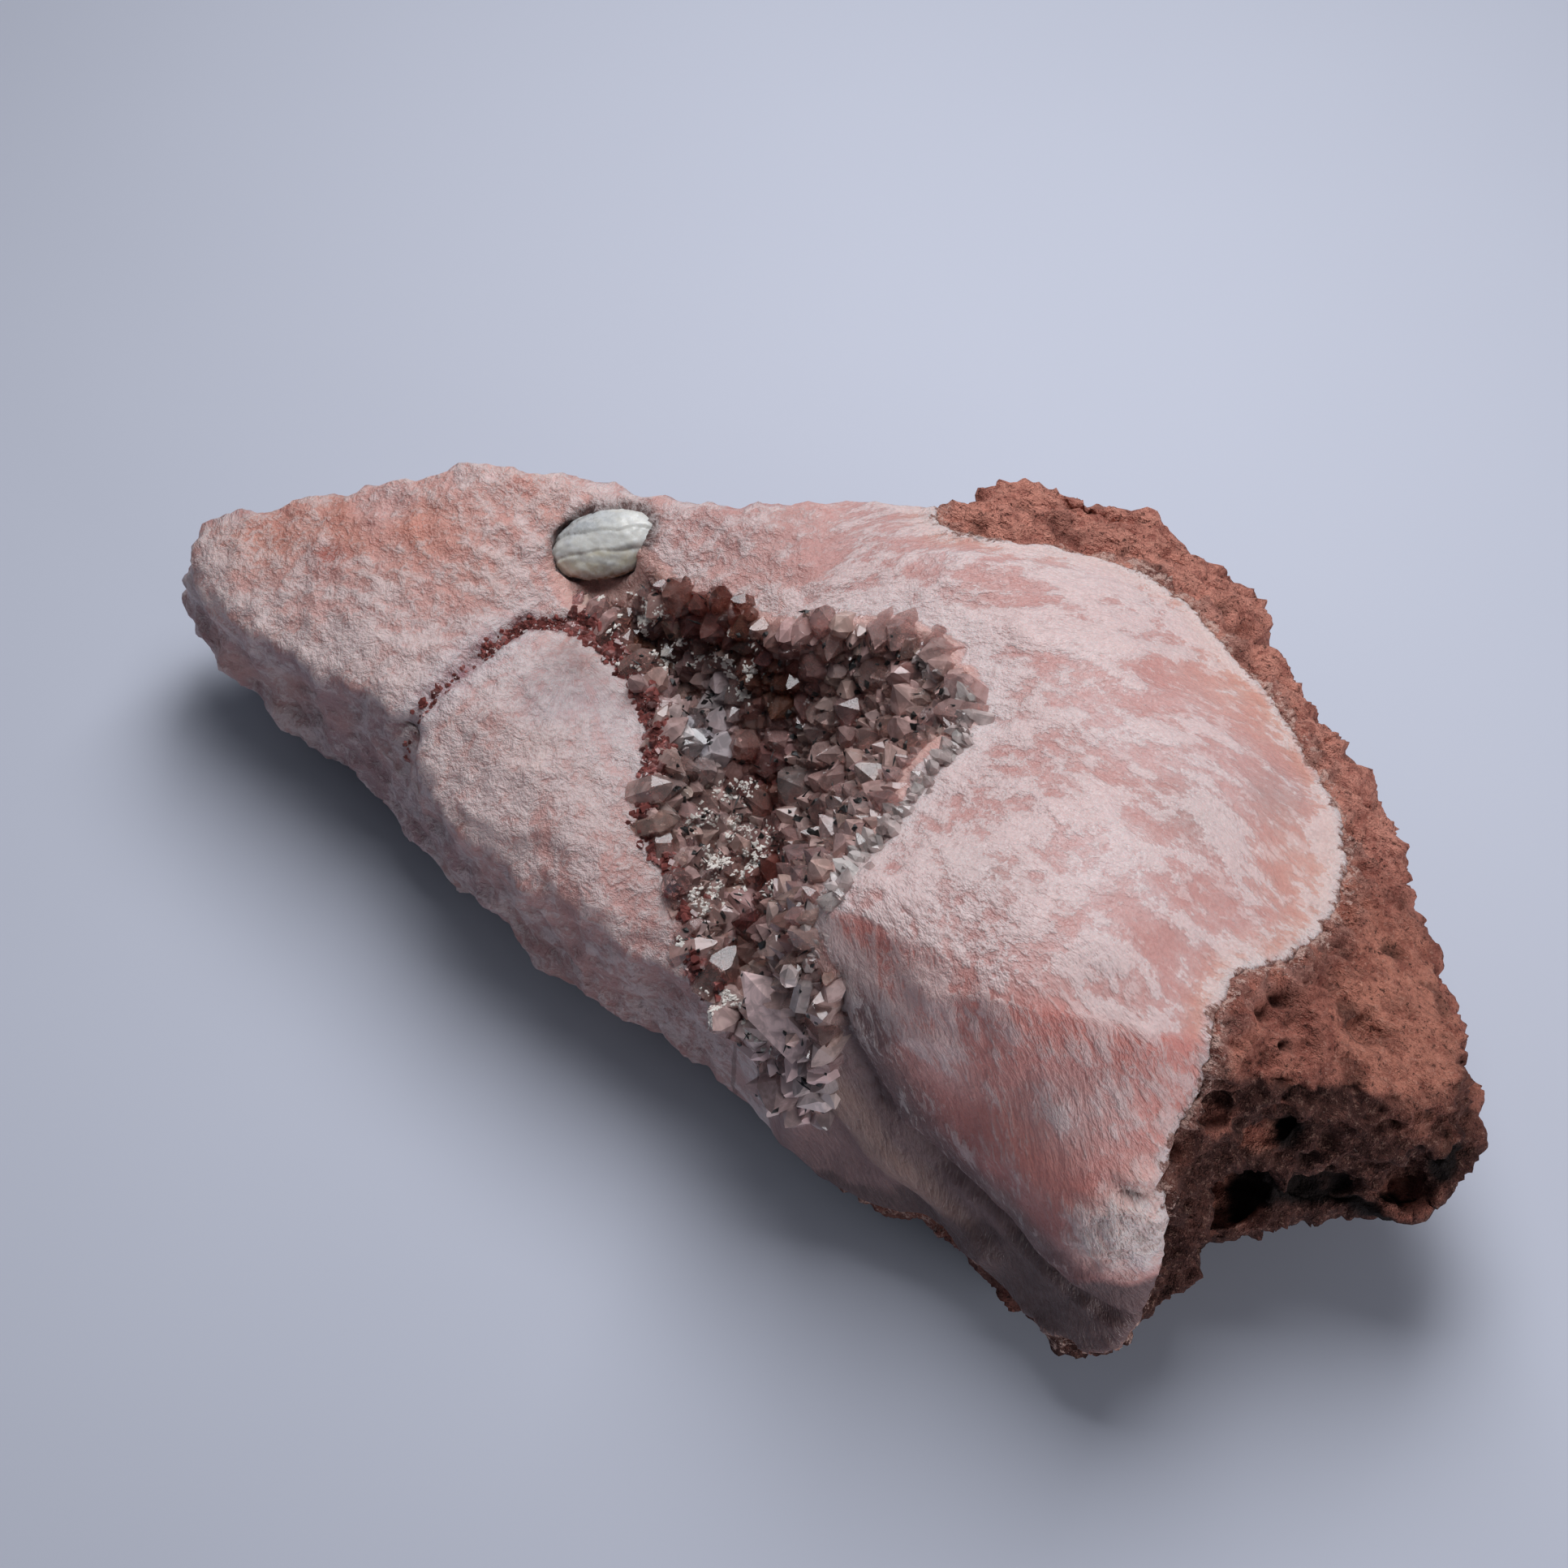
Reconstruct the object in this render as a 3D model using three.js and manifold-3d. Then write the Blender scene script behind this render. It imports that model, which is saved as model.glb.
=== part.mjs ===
// Calcite with quartz: a hand specimen of pink vein calcite with a quartz-lined vug, on red-brown host rock.
// Millimetres. +X runs along the specimen to the host-rock end, +Y to its back, +Z up.
// The origin is the middle of the box around the specimen, on the surface that it rests on.
import * as THREE from 'three';
import { ImprovedNoise } from 'three/addons/math/ImprovedNoise.js';
import { mergeVertices } from 'three/addons/utils/BufferGeometryUtils.js';
import Module from 'manifold-3d';

const wasm = await Module();
wasm.setup();

// ---------- Driving dimensions ----------

const GAP = 0.3; // between two minerals that touch
const TOP_GRID = 3.6; // spacing of the points of the top face
const CONTACT_GRID = 4.8; // spacing of the points of the contact with the host rock
const FIELD = { x: 85, y: 51 }; // half size of the height fields
const SKY = 70; // above every point of the rock
const UNDERGROUND = -20; // below every point of the rock
const DEEPEST_GROUND = -19; // the lowest that a height field goes
const STEPS_PER_STATION = 3; // points of the side wall from one station to the next
const WALL_RINGS = 7; // rings of the side wall from the base to the crest
const CENTRING = [-1.88, 1.42]; // moves the box around the specimen onto the origin, x and y

const CALCITE_RELIEF = 0.45; // height of the roughness of broken calcite
const HOST_RELIEF = 1.25; // height of the roughness of broken host rock
const RELIEF_SIZE = 7; // width of the widest bumps

const RIM_FLARE = 3; // the vug's wall, carried on outwards past its rim
const RIM_FLARE_RISE = 9; // and upwards
const CONTACT_FLARE = 5; // the contact, carried on outwards past the top face
const CONTACT_FLARE_RISE = 14; // and upwards

const CRUST_THICKNESS = 1.4; // quartz sheet on the vug's floor, under the points
const CRYSTAL_TRIES = 6000; // places tried for the quartz points in the vug
const CRYSTAL_RADIUS = [1.6, 3.1]; // least and greatest
const CRYSTAL_SHAFT = [1.4, 3]; // height of the prism above the sheet, least and greatest
const CRYSTAL_TILT = 0.45; // most that a point's axis is pushed off the sheet's normal, along x, y and z
const CRYSTAL_SPACING = 0.92; // between two points, as a share of their radii together
const VUG_AREA = { x: [-34, 22], y: [-35, 12] }; // where the points are tried
const LEAST_DEPTH = 1; // of the vug under a point, below the broken top
const TIP_SHARE = 1.15; // height of a point's tip over its radius
const SHAFT_FROM = 1.9; // a point of at least this radius shows its six-sided shaft
const MOST_STEEP = 3; // a slope with a greater steepness counts as this steep
const BREAK_ALLOWANCE = 0.5; // how far the points stand above the broken top face at the rim

// ---------- The outline, as stations round the rock ----------
// Each station is a line down the side: crest, sometimes a shoulder, belly, foot on the base.
// They run anticlockwise seen from above, from the thin end along the near side.

const STATIONS = [
  // the thin end and the near side of the left lobe
  [[-70, -6, 24.3], [-73, -8.5, 12], [-56, -5, 0]],
  [[-62.5, -12, 24], [-65, -11, 9], [-54, -8, 0]],
  [[-50, -15, 25], [-52.5, -14, 8], [-46, -10, 0]],
  [[-38.5, -17, 27], [-40.5, -17, 7], [-38, -12.5, 0]],
  [[-31, -21.5, 24], [-32, -21, 7], [-29, -17, 0]],
  [[-18.5, -26, 23], [-20, -24.5, 7], [-19, -19, 0]],
  [[-6, -28.5, 24], [-8, -27, 7], [-8, -21, 0]],
  [[5, -29.5, 25], [1.5, -29, 7], [2, -22, 0]],
  [[12, -31.5, 22], [11, -31, 9], [10, -23.5, 0]],
  // the near end of the vug
  [[18, -34.5, 17], [18, -33, 8], [16, -25, 0]],
  // the steep near side of the right lobe
  [[21, -31, 32], [22, -32, 24], [24, -33.5, 15], [24.5, -34.5, 6], [23, -25, 0]],
  [[24, -28.5, 43], [27, -31, 33], [31, -33, 16], [32, -33.5, 6], [30, -24, 0]],
  [[31.5, -28.5, 45], [34.5, -31.5, 34], [40.5, -35, 15], [40.5, -36.5, 7], [38, -25, 0]],
  [[39, -27, 46], [42, -31.5, 33], [49, -37, 17], [47, -39.5, 7], [43, -26, 0]],
  [[45.5, -24, 44], [49, -30.5, 32], [54, -37, 18], [52.5, -39.5, 8], [46, -24, 0]],
  [[50, -21.5, 41], [53, -28, 31], [55.5, -31.5, 21], [56, -32.5, 11], [48, -18, 0]],
  // the craggy end of host rock
  [[55.5, -20, 37], [58.5, -21.5, 27], [60, -22, 20], [60.5, -23.5, 13], [50, -13, 0]],
  [[63, -15.5, 34], [66, -17, 26], [67, -18.5, 15], [54, -9, 0]],
  [[69, -12, 32], [73.5, -14, 25], [74.5, -15.5, 17], [57, -6, 0]],
  [[72.5, -6.5, 31], [76.5, -8.5, 20], [58, -1, 0]],
  [[70, -2, 31], [73, -1, 19], [57, 4, 0]],
  [[65.5, 3.5, 31], [67.5, 5, 18], [54, 8, 0]],
  [[60.5, 8, 32], [62, 10, 17], [49, 12, 0]],
  [[57, 16, 32], [58.5, 18, 16], [45, 16, 0]],
  [[48.5, 20.5, 32], [51, 23.5, 16], [40, 18, 0]],
  [[41, 25, 34], [44, 27.5, 16], [34, 20, 0]],
  [[35, 32, 33], [36, 33, 18], [27, 23, 0]],
  [[27.5, 35, 34], [28.5, 36, 18], [20, 25, 0]],
  [[18.5, 36, 35], [19, 37, 18], [12, 26, 0]],
  [[8.5, 33, 36], [9, 34.5, 18], [4, 24, 0]],
  // the back of the vein
  [[3, 26, 37], [1.5, 28.5, 17], [-3, 20, 0]],
  [[-5.5, 21.5, 38], [-6.5, 24, 16], [-10, 16, 0]],
  [[-14.5, 15.5, 38], [-16, 19, 15], [-18, 12, 0]],
  [[-25, 14.2, 35], [-26, 16, 14], [-26, 9, 0]],
  [[-32, 13.2, 34.5], [-33, 14.5, 13], [-32, 8, 0]],
  [[-41, 11.3, 34.8], [-42, 12.5, 12], [-39, 7, 0]],
  [[-51.5, 6, 31.5], [-52.5, 7.5, 11], [-46, 4.5, 0]],
  [[-59.8, 2.2, 28.3], [-61.5, 3, 11], [-52, 1.5, 0]],
  [[-66.8, -2.8, 26], [-69.5, -3, 11], [-56, -1, 0]],
];

// ---------- Heights of the top face, by landform ----------

const LEFT_LOBE = [
  [-58.5, -6.5, 27], [-52.5, 0, 30], [-44.5, 5.5, 33], [-36, 1, 32],
  [-38.5, -5.5, 30], [-45, -12, 28], [-30, -9, 30], [-24, -2.5, 30],
  [-28, -15.5, 29], [-18, -16.5, 29], [-20.5, -22, 27], [-9, -25.5, 27],
];
const RIGHT_LOBE = [
  [10, 16, 43], [20.5, 22, 41], [30.5, 20, 40], [41, 15, 39], [50, 9, 37],
  [54, 2, 36], [24, 5.5, 45], [34.5, 0.5, 45], [32, -12, 47], [27, -19.5, 47],
  [43, -9, 44], [51, -9.5, 40], [30, -25, 46], [22.5, -25.5, 45], [47, -18, 43],
];
const HOST_TOP = [
  [55.5, -8.5, 38], [62, -3, 35], [68, -8, 33], [62, -12, 35], [57, -16, 37],
  [5.5, 27, 37], [13, 30, 36], [22, 31.5, 36], [32, 29.5, 35], [37, 26.5, 34],
];
// The vug's rim, from its back end at the blade round to its near end, on either side.
const RIM_LEFT = [
  [-33, 9.5, 34], [-32.5, 5.5, 32], [-29, 2, 29.5], [-21, 0, 29], [-15, -5, 29], [-10.5, -11.5, 29],
  [-8.5, -17, 28], [-3.5, -20, 27], [0.5, -25, 26], [6, -28.5, 25], [10.5, -31, 23],
];
const RIM_RIGHT = [
  [-30, 11, 34.5], [-26, 10.2, 35], [-22, 8, 34], [-16, 5.5, 34], [-9, 5, 35.5], [-1.5, 5.5, 38],
  [5.5, 8, 40], [12.5, 7.5, 42], [17, 4, 43], [19, -1.5, 43], [16, -6, 42], [16.5, -13, 42], [15.5, -18, 42],
  [13.5, -22, 41], [14, -26, 40.5], [16.5, -29, 40], [18.5, -30.5, 33], [20.5, -33, 22],
];
const VUG_FLOOR = [
  [-30, 6, 28], [-25, 5, 26], [-19.5, 3.5, 25], [-13, 2, 24], [-11, -2.5, 25], [-4.5, -3.5, 24],
  [-0.5, -7.5, 22], [2.5, -12.5, 22], [4.5, -17, 21], [7.5, -22.5, 21], [11, -27.5, 20], [14, -31.5, 18],
  [-9, -7, 26], [12, -4.5, 35], [4, 1.5, 31], [4.5, -4, 26], [11, 2.5, 38], [9.5, -17.5, 31],
  [11, -10, 31], [14.5, -29.5, 27], [18.5, -33, 18],
];
// Far from the vug its surface is carried on well above the rock.
const CLEAR_OF_VUG = [
  [22, -29.5, 52], [23.5, -33, 48],
  [30, -35, 52], [45, -38, 70], [60, -15, 90], [50, 20, 90], [20, 30, 80], [-10, 30, 70],
  [-40, 20, 60], [-65, -5, 70], [-45, -20, 60], [-20, -32, 50], [0, -42, 45],
];

// ---------- The contact of the vein with its host rock ----------

const CONTACT_LINE = [
  [1, 28, 33], [3, 24.5, 38], [7.5, 21.5, 41], [15.5, 25, 41], [23.5, 27, 40], [30, 27, 39],
  [37.5, 23.5, 38.5], [45, 19.5, 37], [50.5, 14.5, 36], [54.5, 9, 35], [56.5, 3, 35], [56, -5, 37],
  [53, -10.5, 39], [50.5, -15.5, 40], [52, -19.5, 38], [53, -23.5, 34], [51.5, -28, 31],
  [54, -30.5, 27], [55.5, -34, 20], [55.5, -37, 13],
];
const CONTACT_UNDER = [
  [50, -40, 10], [41, -37, 7], [32, -34.5, 6], [23, -34, 5], [10, -31, 2], [0, -29, -3],
  [-8, 24, 10], [-14, 12, 2], [-18, 0, -2], [-14, -14, -3], [-40, 0, -14], [-60, -5, -20],
  [8, 14, 16], [22, 16, 20], [36, 11, 20], [44, 3, 18], [43, -8, 20], [42, -16, 20],
  [8, 0, 7], [22, 0, 9], [20, -16, 8], [34, -22, 11], [2, -16, 3], [46, -26, 18],
];

// ---------- Hollows in the host rock: centre, then radii ----------

const BIG_PITS = [
  [[57.5, -23.5, 21], [5, 4, 4.5]],
  [[72.5, -14.5, 21.5], [3.2, 3, 5]],
  [[63.5, -9, 35], [2.4, 2, 2.2]],
  [[59.5, -20.5, 29], [3, 2.2, 2.2]],
  [[66, -18.5, 20], [4, 2, 2.4]],
  [[54.5, -22.5, 33], [2, 1.8, 2]],
];
const SMALL_PIT_COUNT = 12;
const SMALL_PIT_RADIUS = [0.8, 1.5];
const SMALL_PIT_STATIONS = [16, 28]; // first and last of the stations of the host-rock end
const SMALL_PIT_LOWEST = 0.2; // of the way from belly to crest

// ---------- The blade crystal in the back end of the vug ----------

const BLADE = { centre: [-27.2, 8.4, 32], half: [6.2, 3.6, 2.3], heading: 32, rise: 18, lean: 26 };
const BLADE_CAVITY = 1.1; // free of quartz around the blade

// ---------- Small tools ----------

const noise = new ImprovedNoise();
const random = THREE.MathUtils.seededRandom; // the first call below sets its seed

// Roughness from -1 to 1 in three sizes.
function roughness(x, y, z, size) {
  let sum = 0;
  for (const [scale, share] of [[1, 0.55], [0.5, 0.3], [0.27, 0.15]]) {
    const s = size * scale;
    sum += 1.6 * share * noise.noise(x / s + 31.7, y / s + 11.3, z / s + 5.1);
  }
  return sum;
}

function between([low, high], share) {
  return low + (high - low) * share;
}

// A smooth height field through [x, y, z] points: a thin-plate spline.
function heightField(points) {
  const n = points.length;
  const bend = (r2) => (r2 > 1e-9 ? 0.5 * r2 * Math.log(r2) : 0);
  const rows = points.map(([x, y, z]) => [
    ...points.map((q) => bend((x - q[0]) ** 2 + (y - q[1]) ** 2)), 1, x, y, z,
  ]);
  rows.push([...points.map(() => 1), 0, 0, 0, 0]);
  rows.push([...points.map((q) => q[0]), 0, 0, 0, 0]);
  rows.push([...points.map((q) => q[1]), 0, 0, 0, 0]);
  const weights = solveLinear(rows);
  return (x, y) => {
    let z = weights[n] + weights[n + 1] * x + weights[n + 2] * y;
    for (let i = 0; i < n; i++) {
      z += weights[i] * bend((x - points[i][0]) ** 2 + (y - points[i][1]) ** 2);
    }
    return z;
  };
}

// Gaussian elimination with pivoting; each row ends with its right-hand side.
function solveLinear(rows) {
  const n = rows.length;
  for (let c = 0; c < n; c++) {
    let best = c;
    for (let r = c + 1; r < n; r++) {
      if (Math.abs(rows[r][c]) > Math.abs(rows[best][c])) best = r;
    }
    [rows[c], rows[best]] = [rows[best], rows[c]];
    for (let r = c + 1; r < n; r++) {
      const factor = rows[r][c] / rows[c][c];
      for (let k = c; k <= n; k++) rows[r][k] -= factor * rows[c][k];
    }
  }
  const x = new Array(n).fill(0);
  for (let r = n - 1; r >= 0; r--) {
    let sum = rows[r][n];
    for (let k = r + 1; k < n; k++) sum -= rows[r][k] * x[k];
    x[r] = sum / rows[r][r];
  }
  return x;
}

// The points of a line on the ground, moved to its right (side 1) or left (side -1) and up.
function flared(line, side, out, rise) {
  return line.map(([x, y, z], i) => {
    const a = line[Math.max(i - 1, 0)];
    const b = line[Math.min(i + 1, line.length - 1)];
    const across = new THREE.Vector2(b[1] - a[1], a[0] - b[0]).setLength(side * out);
    return [x + across.x, y + across.y, z + rise];
  });
}

// How steep a height field is: the length of its normal over the normal's upward part.
function steepness(field, x, y) {
  const h = 0.5;
  const sx = (field(x + h, y) - field(x - h, y)) / (2 * h);
  const sy = (field(x, y + h) - field(x, y - h)) / (2 * h);
  return Math.hypot(1, sx, sy);
}

function upwardNormal(field, x, y) {
  const h = 0.8;
  const sx = (field(x + h, y) - field(x - h, y)) / (2 * h);
  const sy = (field(x, y + h) - field(x, y - h)) / (2 * h);
  return new THREE.Vector3(-sx, -sy, 1).normalize();
}

// ---------- Solids ----------

function solidFrom(points, triangles) {
  const vertProperties = new Float32Array(points.flatMap((p) => [p.x, p.y, p.z]));
  const triVerts = new Uint32Array(triangles);
  return new wasm.Manifold(new wasm.Mesh({ numProp: 3, vertProperties, triVerts }));
}

// A closed three.js geometry as a solid: seams merged, triangles that the merge collapsed left out.
function solidOfGeometry(geometry) {
  const bare = geometry.clone();
  bare.deleteAttribute('normal');
  bare.deleteAttribute('uv');
  const merged = mergeVertices(bare, 1e-4);
  const index = merged.index.array;
  const kept = [];
  for (let i = 0; i < index.length; i += 3) {
    const [a, b, c] = [index[i], index[i + 1], index[i + 2]];
    if (a !== b && b !== c && c !== a) kept.push(a, b, c);
  }
  const vertProperties = new Float32Array(merged.attributes.position.array);
  return new wasm.Manifold(new wasm.Mesh({ numProp: 3, vertProperties, triVerts: new Uint32Array(kept) }));
}

function geometryOf(solid) {
  const mesh = solid.getMesh();
  const indexed = new THREE.BufferGeometry();
  indexed.setAttribute('position', new THREE.BufferAttribute(new Float32Array(mesh.vertProperties), 3));
  indexed.setIndex(new THREE.BufferAttribute(new Uint32Array(mesh.triVerts), 1));
  const geometry = indexed.toNonIndexed();
  geometry.computeVertexNormals();
  return geometry;
}

// A closed body through rings of equal length, from the bottom up, anticlockwise seen from above.
function loft(rings) {
  const n = rings[0].length;
  const triangles = [];
  for (let r = 0; r + 1 < rings.length; r++) {
    for (let i = 0; i < n; i++) {
      const [a, b] = [r * n + i, r * n + ((i + 1) % n)];
      triangles.push(a, b, b + n, a, b + n, a + n);
    }
  }
  const cap = (ring) => THREE.ShapeUtils.triangulateShape(ring.map((p) => new THREE.Vector2(p.x, p.y)), []);
  for (const [a, b, c] of cap(rings[0])) triangles.push(a, c, b);
  const last = (rings.length - 1) * n;
  for (const [a, b, c] of cap(rings.at(-1))) triangles.push(last + a, last + b, last + c);
  return solidFrom(rings.flat(), triangles);
}

// The ground below a height field, over the whole field.
function groundBelow(height, grid = TOP_GRID) {
  const [nx, ny] = [Math.round((2 * FIELD.x) / grid), Math.round((2 * FIELD.y) / grid)];
  const points = [];
  for (const atTop of [false, true]) {
    for (let j = 0; j <= ny; j++) {
      for (let i = 0; i <= nx; i++) {
        const [x, y] = [-FIELD.x + i * grid, -FIELD.y + j * grid];
        points.push(new THREE.Vector3(x, y, atTop ? Math.max(height(x, y), DEEPEST_GROUND) : UNDERGROUND));
      }
    }
  }
  const at = (i, j, level) => level * (nx + 1) * (ny + 1) + j * (nx + 1) + i;
  const triangles = [];
  const quad = (a, b, c, d) => triangles.push(a, b, c, a, c, d);
  for (let j = 0; j < ny; j++) {
    for (let i = 0; i < nx; i++) {
      quad(at(i, j, 1), at(i + 1, j, 1), at(i + 1, j + 1, 1), at(i, j + 1, 1));
      quad(at(i, j, 0), at(i, j + 1, 0), at(i + 1, j + 1, 0), at(i + 1, j, 0));
    }
  }
  for (let i = 0; i < nx; i++) {
    quad(at(i, 0, 0), at(i + 1, 0, 0), at(i + 1, 0, 1), at(i, 0, 1));
    quad(at(i + 1, ny, 0), at(i, ny, 0), at(i, ny, 1), at(i + 1, ny, 1));
  }
  for (let j = 0; j < ny; j++) {
    quad(at(0, j + 1, 0), at(0, j, 0), at(0, j, 1), at(0, j + 1, 1));
    quad(at(nx, j, 0), at(nx, j + 1, 0), at(nx, j + 1, 1), at(nx, j, 1));
  }
  return solidFrom(points, triangles);
}

function unionOf(solids) {
  return solids.reduce((joined, solid) => joined.add(solid));
}

function largestOf(solid) {
  return solid.decompose().sort((a, b) => b.volume() - a.volume())[0];
}

// ---------- The landforms as height fields ----------

const crests = STATIONS.map(([crest]) => crest);
const lobes = heightField([...crests, ...LEFT_LOBE, ...RIGHT_LOBE, ...HOST_TOP, ...RIM_LEFT, ...RIM_RIGHT]);
const hollow = heightField([
  ...VUG_FLOOR, ...RIM_LEFT, ...RIM_RIGHT,
  ...flared(RIM_LEFT, 1, RIM_FLARE, RIM_FLARE_RISE),
  ...flared(RIM_RIGHT, -1, RIM_FLARE, RIM_FLARE_RISE),
  ...CLEAR_OF_VUG,
]);
const contact = heightField([
  ...CONTACT_LINE, ...CONTACT_UNDER,
  ...flared(CONTACT_LINE, -1, CONTACT_FLARE, CONTACT_FLARE_RISE),
]);

// The relief of the broken rock at a point: the host rock is coarser than the vein.
function reliefAt(x, y, z) {
  const host = THREE.MathUtils.smoothstep(contact(x, y) - z, -2, 2);
  return THREE.MathUtils.lerp(CALCITE_RELIEF, HOST_RELIEF, host) * roughness(x, y, z, RELIEF_SIZE);
}

const brokenTop = (x, y) => lobes(x, y) + reliefAt(x, y, lobes(x, y));

// ---------- The whole rock ----------

// The levels that a station leaves out are set between its crest and its belly.
function levelsOf(station) {
  const points = station.map((p) => new THREE.Vector3(...p));
  const belly = points.length - 2;
  const missing = { 3: [0.33, 0.66], 4: [0.5], 5: [] }[points.length];
  const last = points[belly - 1];
  points.splice(belly, 0, ...missing.map((share) => last.clone().lerp(points[belly], share)));
  return points.reverse();
}

// The side of the rock, standing up into the sky.
function sideWall() {
  const levels = STATIONS.map(levelsOf);
  const loops = levels[0].map(
    (_, level) => new THREE.CatmullRomCurve3(levels.map((station) => station[level]), true, 'centripetal'),
  );
  const count = STATIONS.length * STEPS_PER_STATION;
  const rings = Array.from({ length: WALL_RINGS + 1 }, () => []);
  for (let i = 0; i < count; i++) {
    const column = new THREE.CatmullRomCurve3(loops.map((loop) => loop.getPoint(i / count)));
    const ahead = loops[1].getTangent(i / count);
    const outwards = new THREE.Vector3(ahead.y, -ahead.x, 0).normalize();
    for (let r = 0; r < WALL_RINGS; r++) {
      const p = column.getPoint(r / (WALL_RINGS - 1));
      p.addScaledVector(outwards, reliefAt(p.x, p.y, p.z));
      if (r === 0) p.z = 0;
      rings[r].push(p);
    }
    const crest = rings[WALL_RINGS - 1][i];
    rings[WALL_RINGS].push(new THREE.Vector3(crest.x, crest.y, SKY));
  }
  return loft(rings);
}

// ---------- Host rock ----------

function pit(centre, radii, detail, turn) {
  const geometry = new THREE.IcosahedronGeometry(1, detail);
  geometry.rotateZ(turn);
  geometry.scale(...radii);
  geometry.translate(...centre);
  return solidOfGeometry(geometry);
}

function hostRock(rock) {
  const below = (x, y) => contact(x, y) - (GAP / 2) * steepness(contact, x, y);
  let host = largestOf(rock.intersect(groundBelow(below, CONTACT_GRID)));
  random(41);
  const pits = BIG_PITS.map(([centre, radii]) => pit(centre, radii, 1, random() * Math.PI));
  while (pits.length < BIG_PITS.length + SMALL_PIT_COUNT) {
    const centre = hostSidePoint(random(), random());
    const radius = between(SMALL_PIT_RADIUS, random());
    pits.push(pit(centre, [radius, radius, radius], 0, random() * Math.PI));
  }
  for (const hole of pits) host = host.subtract(hole);
  return largestOf(host);
}

// A point on the side of the host-rock end: along it and up it, both from 0 to 1.
function hostSidePoint(along, up) {
  const place = between(SMALL_PIT_STATIONS, along);
  const station = STATIONS[Math.floor(place)];
  const next = STATIONS[Math.floor(place) + 1];
  const crest = new THREE.Vector3(...station[0]).lerp(new THREE.Vector3(...next[0]), place % 1);
  const belly = new THREE.Vector3(...station.at(-2)).lerp(new THREE.Vector3(...next.at(-2)), place % 1);
  return belly.lerp(crest, between([SMALL_PIT_LOWEST, 1], up)).toArray();
}

// ---------- The blade crystal ----------

function blade(margin) {
  const geometry = new THREE.SphereGeometry(1, 12, 7);
  geometry.scale(...BLADE.half.map((half) => half + margin));
  geometry.rotateX(THREE.MathUtils.degToRad(BLADE.lean));
  geometry.rotateY(THREE.MathUtils.degToRad(-BLADE.rise));
  geometry.rotateZ(THREE.MathUtils.degToRad(BLADE.heading));
  geometry.translate(...BLADE.centre);
  return solidOfGeometry(geometry);
}

// ---------- Vein calcite ----------

function calciteVein(rock) {
  const above = (x, y) => contact(x, y) + (GAP / 2) * steepness(contact, x, y);
  return largestOf(rock.subtract(groundBelow(above, CONTACT_GRID)).subtract(blade(GAP)));
}

// ---------- Quartz crust ----------

// A six-sided quartz point that stands on the origin along +Z, its tip off centre as on real ones.
function quartzPoint(radius, shaft, tip) {
  const sunk = -1.2 * radius;
  const shown = radius >= SHAFT_FROM ? [[radius * 0.85, sunk], [radius, shaft]] : [[radius * 1.5, sunk]];
  const profile = [[0, sunk], ...shown, [0, shaft + tip]];
  const geometry = new THREE.LatheGeometry(profile.map(([r, h]) => new THREE.Vector2(r, h)), 6);
  geometry.rotateX(Math.PI / 2);
  return geometry;
}

// Where quartz grows: how far the broken top stands above the vug's surface.
const depthIn = (x, y) => lobes(x, y) - hollow(x, y);

// Steep ground is seen from above as a narrow strip, so places on it are kept more often.
function quartzPoints() {
  random(7);
  const placed = [];
  const bladeCentre = new THREE.Vector3(...BLADE.centre);
  for (let i = 0; i < CRYSTAL_TRIES; i++) {
    const [x, y] = [between(VUG_AREA.x, random()), between(VUG_AREA.y, random())];
    const radius = between(CRYSTAL_RADIUS, random() ** 1.5);
    const turn = random() * Math.PI;
    const lean = () => between([-CRYSTAL_TILT, CRYSTAL_TILT], random());
    const tilt = new THREE.Vector3(lean(), lean(), lean());
    const shaft = between(CRYSTAL_SHAFT, random());
    if (random() * MOST_STEEP > steepness(hollow, x, y) || depthIn(x, y) < LEAST_DEPTH) continue;
    const at = new THREE.Vector3(x, y, hollow(x, y));
    if (at.distanceTo(bladeCentre) < BLADE.half[0]) continue;
    if (placed.some((p) => p.at.distanceTo(at) < CRYSTAL_SPACING * (p.radius + radius))) continue;
    placed.push({ at, radius, turn, axis: upwardNormal(hollow, x, y).add(tilt).normalize(), shaft });
  }
  return placed.map(({ at, radius, turn, axis, shaft }) => {
    const geometry = quartzPoint(radius, shaft, radius * TIP_SHARE);
    geometry.rotateZ(turn);
    geometry.applyQuaternion(new THREE.Quaternion().setFromUnitVectors(new THREE.Vector3(0, 0, 1), axis));
    geometry.translate(...at.toArray());
    return solidOfGeometry(geometry);
  });
}

function quartzCrust(wall) {
  const raised = (height) => (x, y) => hollow(x, y) + height * Math.min(steepness(hollow, x, y), MOST_STEEP);
  const crust = unionOf([groundBelow(raised(CRUST_THICKNESS)), ...quartzPoints()])
    .subtract(groundBelow(raised(GAP)))
    .intersect(groundBelow((x, y) => brokenTop(x, y) + BREAK_ALLOWANCE))
    .intersect(wall)
    .subtract(blade(BLADE_CAVITY));
  return largestOf(crust);
}

// ---------- The specimen ----------

const wall = sideWall();
const rock = wall.intersect(groundBelow(brokenTop)).intersect(groundBelow(hollow));
const specimen = new THREE.Group();

function addPiece(name, solid, color, roughness) {
  const material = new THREE.MeshStandardMaterial({ color, roughness, metalness: 0 });
  const mesh = new THREE.Mesh(geometryOf(solid), material);
  mesh.name = name;
  mesh.position.set(CENTRING[0], CENTRING[1], 0);
  specimen.add(mesh);
}

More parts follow.
